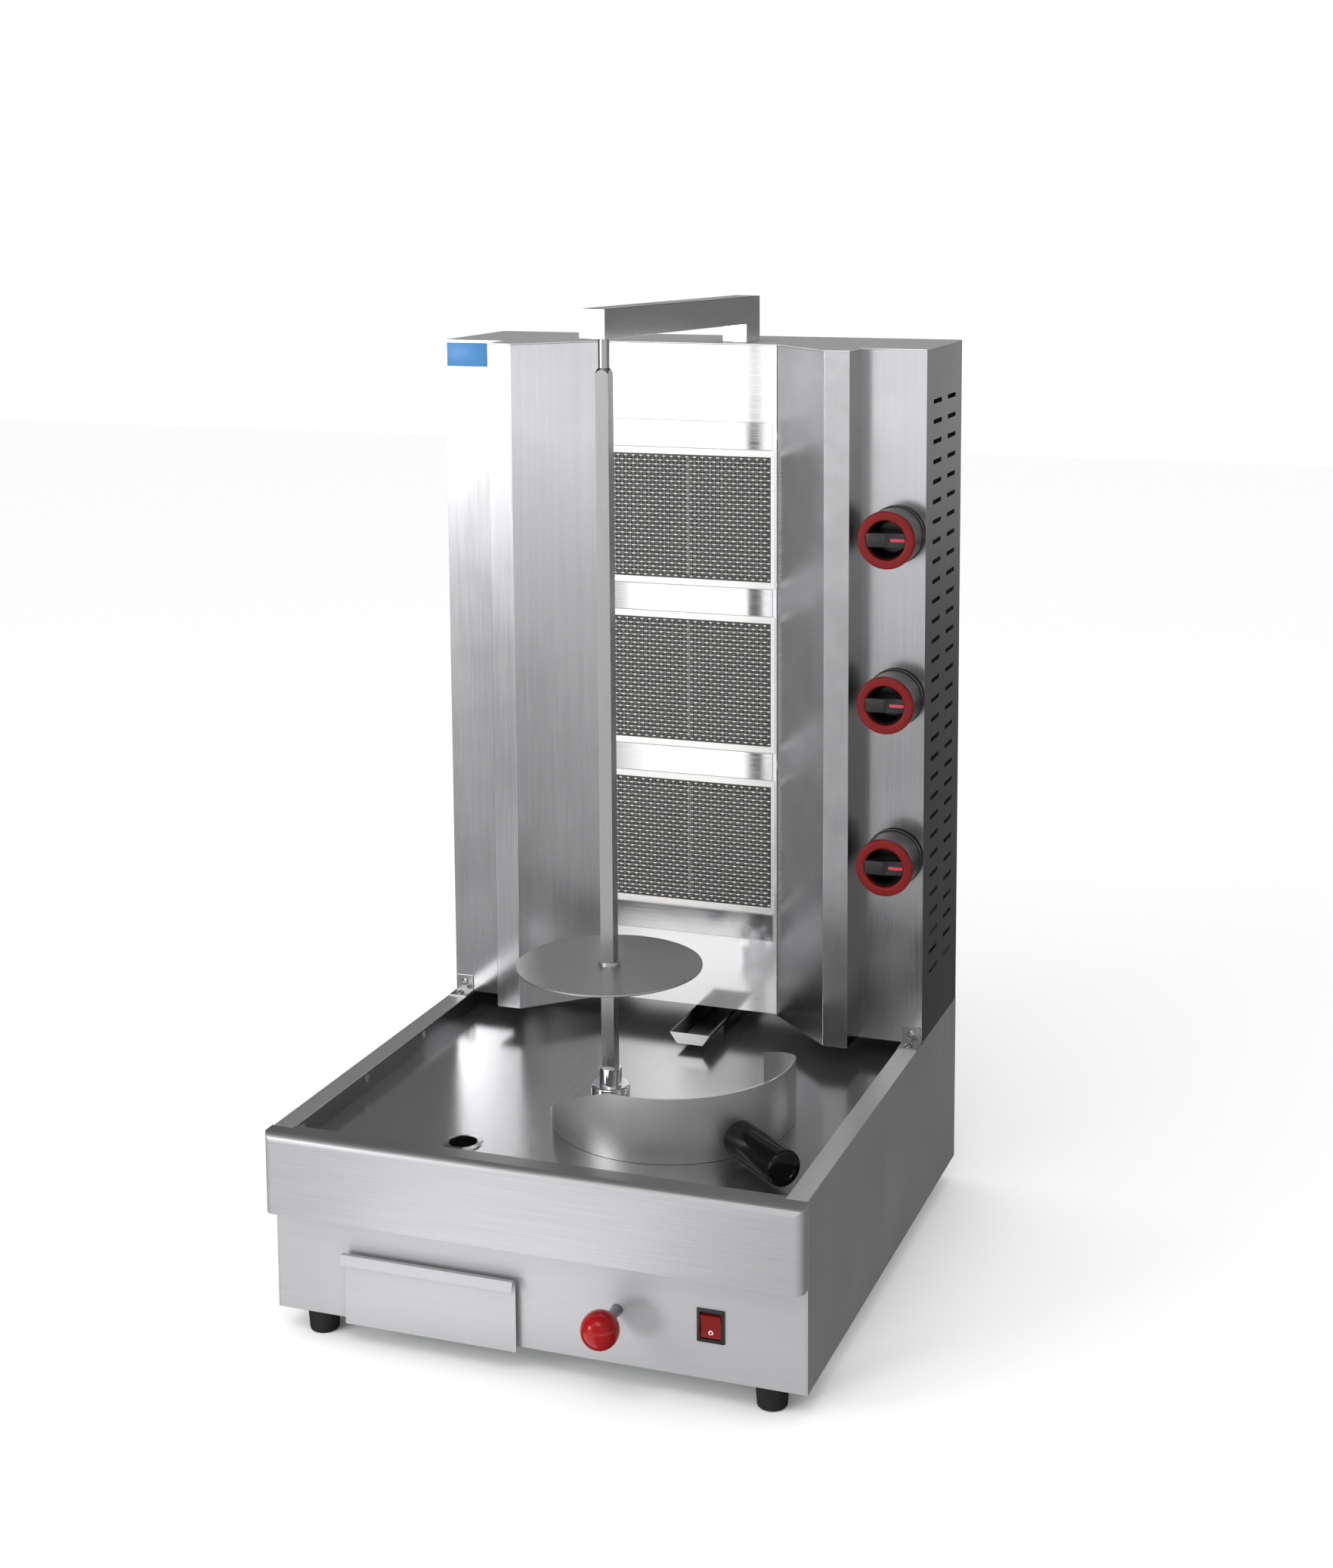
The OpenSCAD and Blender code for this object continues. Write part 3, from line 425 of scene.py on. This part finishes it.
def make_ceramic(name):
    """Fired burner tile, pierced by rows of small flame holes."""
    material, nodes, links, shader = new_material(name)
    coords = nodes.new("ShaderNodeTexCoord")
    mapping = nodes.new("ShaderNodeMapping")
    mapping.inputs["Scale"].default_value = (400, 0, 400)
    links.new(coords.outputs["Object"], mapping.inputs["Vector"])
    cells = nodes.new("ShaderNodeTexVoronoi")
    cells.inputs["Scale"].default_value = 1.0
    cells.inputs["Randomness"].default_value = 0.0
    links.new(mapping.outputs["Vector"], cells.inputs["Vector"])
    # The flame holes are painted near-black: painted shade inside the holes.
    hole = spread(nodes, links, cells.outputs["Distance"], 0, 1, 0.22, 0.36)
    links.new(
        tint_by(nodes, links, hole, (0.03, 0.03, 0.03), (0.14, 0.137, 0.132)),
        shader.inputs["Base Color"],
    )
    shader.inputs["Roughness"].default_value = 0.85
    bump(nodes, links, shader, hole, 0.6, 0.001)
    return material


# Hairlines: fine across two axes of the object and long along the third.
LINES_UP = (1500, 1500, 14)
LINES_ACROSS = (14, 1500, 1500)
LINES_DEEP = (1500, 14, 1500)

# A steel takes its colour, roughness and hairlines, then contrast, metallic share, smudge
# and relief. A steel with painted facing light takes its two colours, the second one painted
# light or shade on the faces that look one way, then the direction that these faces look,
# the roughness of each, its hairlines, and its metallic share and stain.
MATERIALS = {
    "panel": make_steel(
        "stainless_front", (0.37, 0.37, 0.38), 0.46, LINES_ACROSS, 0.04, 0.5, 0.02, 0.02
    ),
    # Apron: its upward faces are painted darker, a painted shade on its top.
    "apron": make_steel_with_painted_facing(
        "stainless_apron", (0.40, 0.40, 0.41), (0.20, 0.20, 0.20), (0, 0, 1), 0.38, 0.34,
        LINES_ACROSS, 0.65, LINES_ACROSS
    ),
    "arm": make_steel("stainless_arm", (0.86, 0.86, 0.87), 0.16, LINES_DEEP, 0.04),
    "top": make_steel("stainless_top", (0.78, 0.78, 0.79), 0.40, LINES_DEEP, 0.04, 0.7),
    # A lighter copy of the side steel: painted light on the base's side panels.
    "base_side": make_steel("stainless_base", (0.74, 0.74, 0.74), 0.36, LINES_UP, 0.07, 0.88),
    "bracket": make_steel("bracket_steel", (0.42, 0.42, 0.42), 0.30, (600, 600, 600), 0.10),
    "wing": make_steel("stainless_wing", (0.57, 0.57, 0.585), 0.20, LINES_UP, 0.03),
    "flare": make_steel("stainless_flare", (0.64, 0.64, 0.655), 0.20, LINES_UP, 0.05),
    # Right flare: its faces that look to +X are painted near-black, a painted shade.
    "flare_right": make_steel_with_painted_facing(
        "stainless_flare_right", (0.50, 0.50, 0.51), (0.12, 0.12, 0.12), (1, 0, 0), 0.24, 0.20,
        LINES_UP
    ),
    "bright": make_steel("stainless_mirror", (0.93, 0.93, 0.94), 0.09, LINES_ACROSS, 0.02),
    "wall": make_steel("stainless_wall", (0.93, 0.93, 0.94), 0.10, LINES_ACROSS, 0.02, 0.75),
    "side": make_steel("stainless_side", (0.62, 0.62, 0.62), 0.34, LINES_UP, 0.07),
    # Tray: its faces that look to +X, the left inner upstand, are painted dark, a painted shade.
    "tray": make_steel_with_painted_facing(
        "stainless_tray", (0.56, 0.56, 0.56), (0.16, 0.16, 0.16), (1, 0, 0), 0.19, 0.30,
        LINES_DEEP, 0.94, LINES_DEEP
    ),
    # Gutter: near-black all over, a painted shade inside it, and its front-facing lip near-white,
    # a painted reflection.
    "gutter": make_steel_with_painted_facing(
        "stainless_gutter", (0.035, 0.034, 0.033), (0.90, 0.90, 0.90), (0, -1, 0), 0.30, 0.30,
        LINES_UP
    ),
    "disc": make_steel("stainless_disc", (0.40, 0.40, 0.40), 0.34, LINES_ACROSS, 0.05, 0.9),
    "spit": make_steel("stainless_spit", (0.36, 0.36, 0.36), 0.26, LINES_UP, 0.05),
    # Scoop: its upward faces are painted near-white, a painted reflection on its floor.
    "scoop": make_steel_with_painted_facing(
        "stainless_scoop", (0.40, 0.40, 0.40), (0.97, 0.97, 0.97), (0, 0, 1), 0.36,
        0.08, LINES_ACROSS, 0.8
    ),
    "galvanised": make_steel("galvanised_sheet", (0.55, 0.57, 0.58), 0.42, (60, 60, 60), 0.14),
    "burner": make_steel("burner_steel", (0.86, 0.85, 0.84), 0.28, LINES_ACROSS, 0.05, 0.8),
    "dark": make_steel("scorched_steel", (0.10, 0.098, 0.095), 0.45, (200, 200, 200), 0.2),
    "wire": make_crest_wire("mesh_wire"),
    # Uprights: a darker copy of the wire steel, a painted shade.
    "upright": make_steel("mesh_upright", (0.26, 0.258, 0.255), 0.40, (300, 300, 300), 0.15),
    # Knurled neck and pull rod: their chrome is painted dark, a painted shade.
    "neck": make_steel("knurled_neck", (0.28, 0.28, 0.29), 0.16, (300, 300, 300), 0.05),
    "brass": make_steel("brass", (0.80, 0.62, 0.30), 0.28, (500, 500, 500), 0.10),
    "chrome": make_steel("chrome", (0.88, 0.88, 0.90), 0.07, (300, 300, 300), 0.03, 1.0, 0.02),
    "machined": make_steel("machined_steel", (0.50, 0.50, 0.51), 0.30, (900, 900, 900), 0.10),
    "motor": make_steel("motor_grey", (0.20, 0.22, 0.24), 0.50, (500, 500, 500), 0.15, 0.2),
    "black": make_plastic("black_plastic", (0.010, 0.010, 0.011), 0.28, 0.45),
    "gloss_black": make_plastic("black_bakelite", (0.003, 0.003, 0.003), 0.12, 0.28),
    "rubber": make_plastic("black_rubber", (0.010, 0.010, 0.010), 0.62, 0.25, 0.2, 1500),
    "red": make_plastic("red_plastic", (0.12, 0.004, 0.004), 0.34, 0.22),
    "gloss_red": make_plastic("red_bakelite", (0.20, 0.003, 0.004), 0.12, 0.30),
    "pointer": make_plastic("pointer_red", (0.36, 0.025, 0.05), 0.25, 0.4),
    "pale": make_plastic("pale_print", (0.60, 0.57, 0.52), 0.4),
    "blue": make_plastic("label_blue", (0.04, 0.15, 0.33), 0.35, 0.3, 0.03),
    "ceramic": make_ceramic("ceramic_tile"),
}


# ---------- CAD nodes that stay: material, slot, and edge round in millimetres ----------

CAD_FINISH = {
    "side_panel_left": ("base_side", "stainless_side", 0.5),
    "side_panel_right": ("base_side", "stainless_side", 0.5),
    "front_panel": ("panel", "stainless_panel", 0.5),
    "base_rear_panel": ("side", "stainless_side", 0.4),
    "base_floor": ("galvanised", "galvanised", 0.0),
    "drip_tray": ("tray", "stainless_bright", 0.0),
    "front_apron": ("apron", "stainless_panel", 0.0),
    "drain_tube": ("bright", "stainless_bright", 0.0),
    "drawer_runners": ("galvanised", "galvanised", 0.3),
    "wing_left": ("wing", "stainless_panel", 0.5),
    "wing_right": ("wing", "stainless_panel", 0.5),
    "rear_cover": ("side", "stainless_side", 0.4),
    "top_plate": ("top", "stainless_side", 0.4),
    "reflector_left": ("flare", "stainless_bright", 0.5),
    "reflector_right": ("flare_right", "stainless_bright", 0.5),
    "back_reflector": ("wall", "stainless_bright", 0.3),
    "reflector_strips": ("bright", "stainless_bright", 0.4),
    "burner_body_upper": ("burner", "burner_steel", 0.4),
    "burner_body_middle": ("burner", "burner_steel", 0.4),
    "burner_body_lower": ("burner", "burner_steel", 0.4),
    "gas_manifold": ("brass", "brass", 0.0),
    "gas_valves": ("brass", "brass", 0.0),
    "injectors": ("brass", "brass", 0.0),
    "valve_stem_upper": ("machined", "machined_steel", 0.0),
    "valve_stem_middle": ("machined", "machined_steel", 0.0),
    "valve_stem_lower": ("machined", "machined_steel", 0.0),
    "pull_rod": ("neck", "chrome", 0.0),
    "motor_carriage": ("galvanised", "galvanised", 0.3),
    "gear_motor": ("motor", "motor_grey", 0.5),
    "motor_pinion": ("machined", "machined_steel", 0.0),
    "carriage_guides": ("galvanised", "galvanised", 0.3),
    "spindle": ("chrome", "chrome", 0.3),
    "drive_gear": ("machined", "machined_steel", 0.0),
    "bearing_housing": ("machined", "machined_steel", 0.3),
    "spindle_bearings": ("brass", "brass", 0.0),
    "spit_rod": ("spit", "stainless_bright", 0.0),
    "meat_disc": ("disc", "stainless_bright", 0.3),
    "top_arm": ("arm", "stainless_panel", 0.6),
    "arm_socket": ("machined", "machined_steel", 0.3),
    "scoop_pan": ("scoop", "stainless_bright", 0.0),
    "drawer": ("panel", "stainless_panel", 0.4),
    "corner_brackets": ("bracket", "stainless_bright", 0.0),
    "screws": ("machined", "chrome", 0.0),
    "rear_gutter": ("gutter", "stainless_bright", 0.0),
    "cable_gland": ("black", "black_plastic", 0.3),
}


def round_edges(node, radius):
    """Joins the shell's points and rounds its sharp edges by modifiers."""
    weld = node.modifiers.new("weld", "WELD")
    weld.merge_threshold = 0.00002
    flat = node.modifiers.new("flat", "DECIMATE")
    flat.decimate_type = "DISSOLVE"
    flat.angle_limit = math.radians(0.6)
    edge = node.modifiers.new("edge", "BEVEL")
    edge.width = radius
    edge.segments = 2
    edge.limit_method = "ANGLE"
    edge.angle_limit = math.radians(35)
    edge.use_clamp_overlap = True
    edge.harden_normals = True


def finish_cad_nodes():
    """Gives each kept CAD node its steel and its rounded edges."""
    for name, (finish, slot, radius) in CAD_FINISH.items():
        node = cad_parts[name]
        node.data.materials.clear()
        node.data.materials.append(MATERIALS[finish])
        if radius:
            round_edges(node, radius * MM)


# ---------- Mesh helpers ----------

def add_piece(bm, name, body, material, nodes=(), sharp=35):
    """Makes an object of the mesh; edges sharper than the angle stay crisp."""
    bmesh.ops.remove_doubles(bm, verts=bm.verts, dist=1e-7)
    bmesh.ops.recalc_face_normals(bm, faces=bm.faces)
    limit = math.radians(sharp)
    for face in bm.faces:
        face.smooth = True
    for edge in bm.edges:
        edge.smooth = len(edge.link_faces) == 2 and edge.calc_face_angle() < limit
    mesh = bpy.data.meshes.new(name)
    bm.to_mesh(mesh)
    bm.free()
    mesh.materials.append(MATERIALS[material])
    piece = bpy.data.objects.new(name, mesh)
    bpy.context.scene.collection.objects.link(piece)
    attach(piece, body)
    if nodes:
        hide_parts(*nodes)
    return piece


def arc(cx, cy, radius, start, end, steps):
    """Points of an arc between two angles in degrees."""
    angles = [math.radians(start + (end - start) * i / steps) for i in range(steps + 1)]
    return [(cx + radius * math.cos(a), cy + radius * math.sin(a)) for a in angles]


def axes_from(direction):
    """Two directions square to the axis, for turning a profile about it."""
    axis = Vector(direction).normalized()
    helper = Z_AXIS if abs(axis.z) < 0.9 else X_AXIS
    side = axis.cross(helper).normalized()
    return axis, side, axis.cross(side)


def bridge(bm, rings):
    """Joins each ring of points to the next by four-sided faces."""
    made = []
    for first, second in zip(rings, rings[1:]):
        count = len(first)
        for i in range(count):
            j = (i + 1) % count
            made.append(bm.faces.new((first[i], first[j], second[j], second[i])))
    return made


def prism(bm, first, second):
    """Two matching outlines, closed and joined; returns all the faces."""
    ends = [bm.faces.new(first), bm.faces.new(second)]
    return ends + bridge(bm, [first, second])


def lathe(bm, profile, base, direction, steps=64, waves=0, depth=0.0):
    """Turns (radius, height) points about an axis; waves ripple the radius."""
    axis, side, other = axes_from(direction)
    rings = []
    for radius, height in profile:
        ring = []
        for i in range(steps):
            angle = 2 * math.pi * i / steps
            swell = radius + depth * math.cos(waves * angle) if waves else radius
            spoke = side * math.cos(angle) + other * math.sin(angle)
            ring.append(bm.verts.new(Vector(base) + axis * height + spoke * swell))
        rings.append(ring)
    bridge(bm, rings)
    return rings


def closed_lathe(bm, profile, base, direction, steps=64, waves=0, depth=0.0):
    """A turned solid: the first and last rings are filled in."""
    rings = lathe(bm, profile, base, direction, steps, waves, depth)
    bm.faces.new(rings[0])
    bm.faces.new(rings[-1])


def ring_lathe(bm, profile, base, direction, steps=64):
    """A turned ring: the profile's last point joins its first."""
    lathe(bm, list(profile) + [profile[0]], base, direction, steps)


def block(bm, low, high, radius=0.0, segments=3):
    """A box between two corners with its edges rounded."""
    low, high = Vector(low), Vector(high)
    made = bmesh.ops.create_cube(bm, size=1.0)
    verts = made["verts"]
    for vert in verts:
        vert.co = (low + high) / 2 + Vector(
            [vert.co[i] * (high[i] - low[i]) for i in range(3)]
        )
    if radius:
        edges = list(dict.fromkeys(edge for vert in verts for edge in vert.link_edges))
        bmesh.ops.bevel(
            bm, geom=edges, offset=radius, segments=segments, profile=0.5, affect="EDGES"
        )


# ---------- Gas knobs ----------

def make_knob(level):
    """A cupped body with a grip bar across it, and the ring and pointer it carries."""
    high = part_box("knob_" + level)[1]
    ring_low, ring_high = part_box("knob_ring_" + level)
    middle = centre("knob_" + level)
    outer = (ring_high.x - ring_low.x) / 2
    inner = outer - 9.5 * MM
    face = high.y - ring_low.y
    body = "knob_" + level + "_body"
    base = Vector((middle.x, high.y, middle.z))
    cup = face - 27 * MM
    bm = bmesh.new()
    closed_lathe(bm, [
        (outer - 1.5 * MM, 0), (outer, 1.5 * MM), (outer, 5 * MM),
        (outer - 0.8 * MM, 6 * MM), (outer - 0.8 * MM, face - 6 * MM),
        (outer - 0.6 * MM, face - 5.2 * MM), (inner + 0.8 * MM, face - 5.2 * MM),
        (inner - 0.4 * MM, face - 6.5 * MM), (inner - 1.5 * MM, cup + 3 * MM),
        (inner - 4.5 * MM, cup), (2 * MM, cup),
    ], base, -Y_AXIS, 72)
    grip = 7 * MM
    top = face + 1.0 * MM
    outline = [
        (-inner - 1.2 * MM, face - 4 * MM), (-inner - 1.2 * MM, top - 1.5 * MM),
        (-inner + 1 * MM, top), (-1 * MM, top), (2.5 * MM, top - 3.5 * MM),
        (inner, top - 4.6 * MM), (inner, cup), (-inner + 2 * MM, cup),
        (-inner + 1 * MM, face - 5 * MM),
    ]
    sides = []
    for offset in (-grip, grip):
        sides.append([
            bm.verts.new(base + Vector((x, -height, offset))) for x, height in outline
        ])
    made = prism(bm, *sides)
    bmesh.ops.bevel(
        bm, geom=list(dict.fromkeys(e for f in made for e in f.edges)), offset=1.1 * MM,
        segments=3, profile=0.5, affect="EDGES", clamp_overlap=True,
    )
    add_piece(bm, "knob_body_" + level, body, "black", ["knob_" + level])
    make_knob_ring(level, base, outer, inner, face, body)


def make_knob_ring(level, base, outer, inner, face, body):
    """The round-edged red ring, and the red line on the grip bar."""
    back = face - 5 * MM
    bm = bmesh.new()
    profile = [(inner, back), (outer - 0.2 * MM, back)]
    profile += arc(outer - 2.4 * MM, face - 2.2 * MM, 2.2 * MM, 0, 90, 6)
    profile += arc(inner + 2.2 * MM, face - 2.2 * MM, 2.2 * MM, 90, 180, 6)
    ring_lathe(bm, profile, base, -Y_AXIS, 96)
    add_piece(
        bm, "red_ring_" + level, body, "red", ["knob_ring_" + level]
    )
    bm = bmesh.new()
    line = 1.7 * MM
    high = face - 3.4 * MM
    block(
        bm,
        (base.x + 4 * MM, base.y - high - 1.0 * MM, base.z - line),
        (base.x + inner - 0.4 * MM, base.y - high + 1.0 * MM, base.z + line),
        0.7 * MM, 3,
    )
    add_piece(bm, "pointer_" + level, body, "pointer")


# ---------- Ball knob and its neck ----------

def make_ball_knob():
    """A ball with a flat at its back, and the knurled neck that joins it to the rod."""
    middle = centre("ball_knob")
    low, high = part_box("ball_knob")
    radius = (high.x - low.x) / 2
    ball = Vector((middle.x, low.y + radius, middle.z))
    bm = bmesh.new()
    flat_angle = 62
    profile = arc(0, 0, radius, flat_angle, -90, 44)
    rings = lathe(bm, profile[:-1], ball, Y_AXIS, 72)
    bm.faces.new(rings[0])
    tip = bm.verts.new(ball - Y_AXIS * radius)
    last = rings[-1]
    for i in range(len(last)):
        bm.faces.new((last[i], last[(i + 1) % len(last)], tip))
    add_piece(bm, "ball_grip", "motor_slide", "gloss_red", ["ball_knob"])
    bm = bmesh.new()
    start = radius * math.sin(math.radians(flat_angle)) - 0.5 * MM
    closed_lathe(bm, [
        (5.6 * MM, start), (7.0 * MM, start + 0.8 * MM), (7.0 * MM, start + 7 * MM),
        (6.2 * MM, start + 7.8 * MM),
    ], ball, Y_AXIS, 96, 16, 0.6 * MM)
    add_piece(bm, "ball_neck", "motor_slide", "neck", sharp=20)


# ---------- Rocker switch ----------

def make_rocker():
    """The switch's bezel, open in the middle for the cap."""
    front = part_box("front_panel")[0].y
    middle = centre("switch_rocker")
    half_w = 13 * MM
    half_h = 15.5 * MM
    lip = 3.2 * MM
    bm = bmesh.new()
    outline = []
    for outer in (True, False):
        w = half_w if outer else half_w - lip
        h = half_h if outer else half_h - lip
        outline.append([(-w, -h), (w, -h), (w, h), (-w, h)])
    rings = []
    for shape, depth in (
        (outline[0], 0.0), (outline[0], -1.6 * MM), (outline[1], -2.0 * MM), (outline[1], 8 * MM)
    ):
        rings.append([
            bm.verts.new((middle.x + x, front + depth, middle.z + z)) for x, z in shape
        ])
    rings.append(rings[0])
    bridge(bm, rings)
    bmesh.ops.bevel(
        bm, geom=list(bm.edges), offset=0.5 * MM, segments=2, profile=0.5,
        affect="EDGES", clamp_overlap=True,
    )
    add_piece(bm, "switch_bezel", "cabinet", "black", ["switch_housing"])
    make_rocker_cap(middle, front, half_w - lip - 0.4 * MM, half_h - lip - 1.1 * MM)


def rocker_row(t, middle, front, half_h, slope):
    """Height and depth of the cap's face; t runs from -1 at its foot to 1 at its top."""
    out = 0.6 * MM + 1.3 * MM * t * t + 0.7 * MM * t
    return (middle.z + t * half_h - slope * (1 + t) / 2, front - out)


def make_rocker_cap(middle, front, half_w, half_h):
    """The cap: dished, its upper half proud, and its top sloped to clear the bezel."""
    bm = bmesh.new()
    steps = 16
    slope = 1.2 * MM
    rows = []
    for i in range(steps + 1):
        rows.append(rocker_row(-1 + 2 * i / steps, middle, front, half_h, slope))
    columns = []
    for x in (-half_w, half_w):
        face = [bm.verts.new((middle.x + x, y, z)) for z, y in rows]
        face += [
            bm.verts.new((middle.x + x, front + 2.5 * MM, rows[-1][0] + slope)),
            bm.verts.new((middle.x + x, front + 2.5 * MM, rows[0][0])),
        ]
        columns.append(face)
    prism(bm, *columns)
    add_piece(bm, "rocker_cap", "rocker_body", "red", ["switch_rocker"])
    bm = bmesh.new()
    mark_z, mark_y = rocker_row(-0.55, middle, front, half_h, slope)
    ring_lathe(bm, [
        (1.3 * MM, -0.5 * MM), (2.1 * MM, -0.5 * MM), (2.1 * MM, 0.15 * MM), (1.3 * MM, 0.15 * MM)
    ], (middle.x, mark_y, mark_z), -Y_AXIS, 24)
    add_piece(bm, "rocker_mark", "rocker_body", "pale")


# ---------- Burners ----------

def wire(bm, points, radius, sides=6):
    """A round wire along points; the cross-section stays square to the run."""
    rings = []
    for i, point in enumerate(points):
        ahead = points[min(i + 1, len(points) - 1)] - points[max(i - 1, 0)]
        along = ahead.normalized()
        side = along.cross(Y_AXIS).normalized()
        other = side.cross(along)
        ring = []
        for k in range(sides):
            angle = 2 * math.pi * k / sides
            spoke = side * math.cos(angle) + other * math.sin(angle)
            ring.append(bm.verts.new(point + spoke * radius))
        rings.append(ring)
    bridge(bm, rings)
    bm.faces.new(rings[0])
    bm.faces.new(rings[-1])


def make_woven_mesh(level, low, high, replaced):
    """Straight upright wires, with thicker cross wires crimped over and under them."""
    pitch = 4.15 * MM
    upright_r = 0.60 * MM
    cross_r = 0.95 * MM
    crimp = 0.95 * MM
    depth = low.y + 0.1 * MM
    across = int((high.x - low.x) / pitch)
    up = int((high.z - low.z) / pitch)
    step_x = (high.x - low.x) / across
    step_z = (high.z - low.z) / up
    bm = bmesh.new()
    for i in range(across):
        x = low.x + (i + 0.5) * step_x
        ends = [Vector((x, depth + 0.7 * MM, z)) for z in (low.z, high.z)]
        wire(bm, ends, upright_r)
    add_piece(bm, "mesh_uprights_" + level, "cabinet", "upright", sharp=80)
    bm = bmesh.new()
    for j in range(up):
        z = low.z + (j + 0.5) * step_z
        points = []
        for i in range(4 * across + 1):
            wave = -math.sin(math.pi * (i / 4.0 + j))
            points.append(Vector((low.x + i * step_x / 4, depth + crimp * wave, z)))
        wire(bm, points, cross_r)
    add_piece(
        bm, "burner_mesh_" + level, "cabinet", "wire", replaced, sharp=80
    )


def make_mesh_frame(level, low, high):
    """Dark channel that holds the edge of the mesh, with rounded corners."""
    inset = 2.4 * MM
    corner = 4.0 * MM
    front = low.y - 1.2 * MM
    back = low.y + 1.6 * MM
    loops = []
    for shrink, radius in ((0.0, 0.8 * MM), (inset, corner)):
        left, right = low.x + shrink + radius, high.x - shrink - radius
        bottom, top = low.z + shrink + radius, high.z - shrink - radius
        loop = []
        for cx, cz, start in (
            (right, bottom, -90), (right, top, 0), (left, top, 90), (left, bottom, 180)
        ):
            loop += arc(cx, cz, radius, start, start + 90, 6)
        loops.append(loop)
    bm = bmesh.new()
    rings = []
    for loop, y in ((loops[0], front), (loops[1], front), (loops[1], back), (loops[0], back)):
        rings.append([bm.verts.new((x, y, z)) for x, z in loop])
    rings.append(rings[0])
    bridge(bm, rings)
    add_piece(bm, "mesh_frame_" + level, "cabinet", "dark")


def make_tiles(level, bottom, top, replaced):
    """Two tiles side by side, with a strip of cement over their joint."""
    low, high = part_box("burner_tiles")
    bm = bmesh.new()
    for side in (-1, 1):
        near, far = 0.4 * MM * side, high.x * side
        block(
            bm, (min(near, far), low.y, bottom), (max(near, far), high.y, top), 0.8 * MM, 2
        )
    add_piece(bm, "tiles_" + level, "cabinet", "ceramic", replaced)
    bm = bmesh.new()
    block(
        bm, (-1.3 * MM, low.y - 0.3 * MM, bottom + MM),
        (1.3 * MM, low.y + 4 * MM, top - MM), 0.4 * MM, 2,
    )
    add_piece(bm, "tile_seam_" + level, "cabinet", "pale")


def make_burners():
    """Meshes and tiles; the lowest ones stand in for the CAD nodes of all three."""
    mesh_low, mesh_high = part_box("burner_meshes")
    half = 64.3 * MM
    for level in ("lower", "middle", "upper"):
        first = level == "lower"
        middle = centre("burner_body_" + level).z
        low = Vector((mesh_low.x, mesh_low.y, middle - half))
        high = Vector((mesh_high.x, mesh_high.y, middle + half))
        make_woven_mesh(level, low, high, ["burner_meshes"] if first else [])
        make_mesh_frame(level, low, high)
        make_tiles(level, middle - half, middle + half, ["burner_tiles"] if first else [])


# ---------- Feet, handle, label ----------

def make_feet():
    """Four rubber feet, round at the bottom."""
    low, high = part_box("feet")
    radius = 15 * MM
    height = high.z - low.z
    profile = [(4 * MM, 0.6 * MM), (5 * MM, 0)]
    profile += arc(radius * 0.72, 3 * MM, 3 * MM, -90, -10, 6)
    profile += [(radius, height * 0.72), (radius, height - 0.4 * MM), (3 * MM, height)]
    bm = bmesh.new()
    for x in (low.x + radius, high.x - radius):
        for y in (low.y + radius, high.y - radius):
            closed_lathe(bm, profile, (x, y, low.z), Z_AXIS, 48)
    add_piece(bm, "rubber_feet", "cabinet", "rubber", ["feet"])


def make_handle():
    """A round-ended grip with a dimple in its end, level and turned to the front right."""
    low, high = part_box("scoop_handle")
    turn = -41
    angle = math.radians(turn)
    axis = Vector((math.cos(angle), math.sin(angle), 0))
    radius = (high.z - low.z) / 2
    span = (high.x - low.x) - 2 * radius * abs(math.sin(angle))
    length = span / math.cos(angle)
    start = centre("scoop_handle") - axis * length / 2
    dimple = length - 1.2 * MM
    bm = bmesh.new()
    profile = [(radius - 2.0 * MM, 0), (radius, 2.5 * MM), (radius, length - 2.5 * MM)]
    profile += arc(radius - 2.5 * MM, length - 2.5 * MM, 2.5 * MM, 0, 90, 5)
    profile += [(radius - 6 * MM, length), (radius - 6.8 * MM, dimple), (MM, dimple)]
    closed_lathe(bm, profile, start, axis, 72)
    add_piece(bm, "handle_grip", "scoop_body", "gloss_black", ["scoop_handle"])


def make_label():
    """A blank plate."""
    low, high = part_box("label_plate")
    bm = bmesh.new()
    block(bm, low, high, 0.25 * MM, 2)
    add_piece(bm, "blank_label", "cabinet", "blue", ["label_plate"])


bpy.context.scene.view_settings.view_transform = "Standard"
make_camera()
make_world()
make_lights()
make_cards()
make_floor()
finish_cad_nodes()
for knob_level in ("upper", "middle", "lower"):
    make_knob(knob_level)
make_ball_knob()
make_rocker()
make_burners()
make_feet()
make_handle()
make_label()
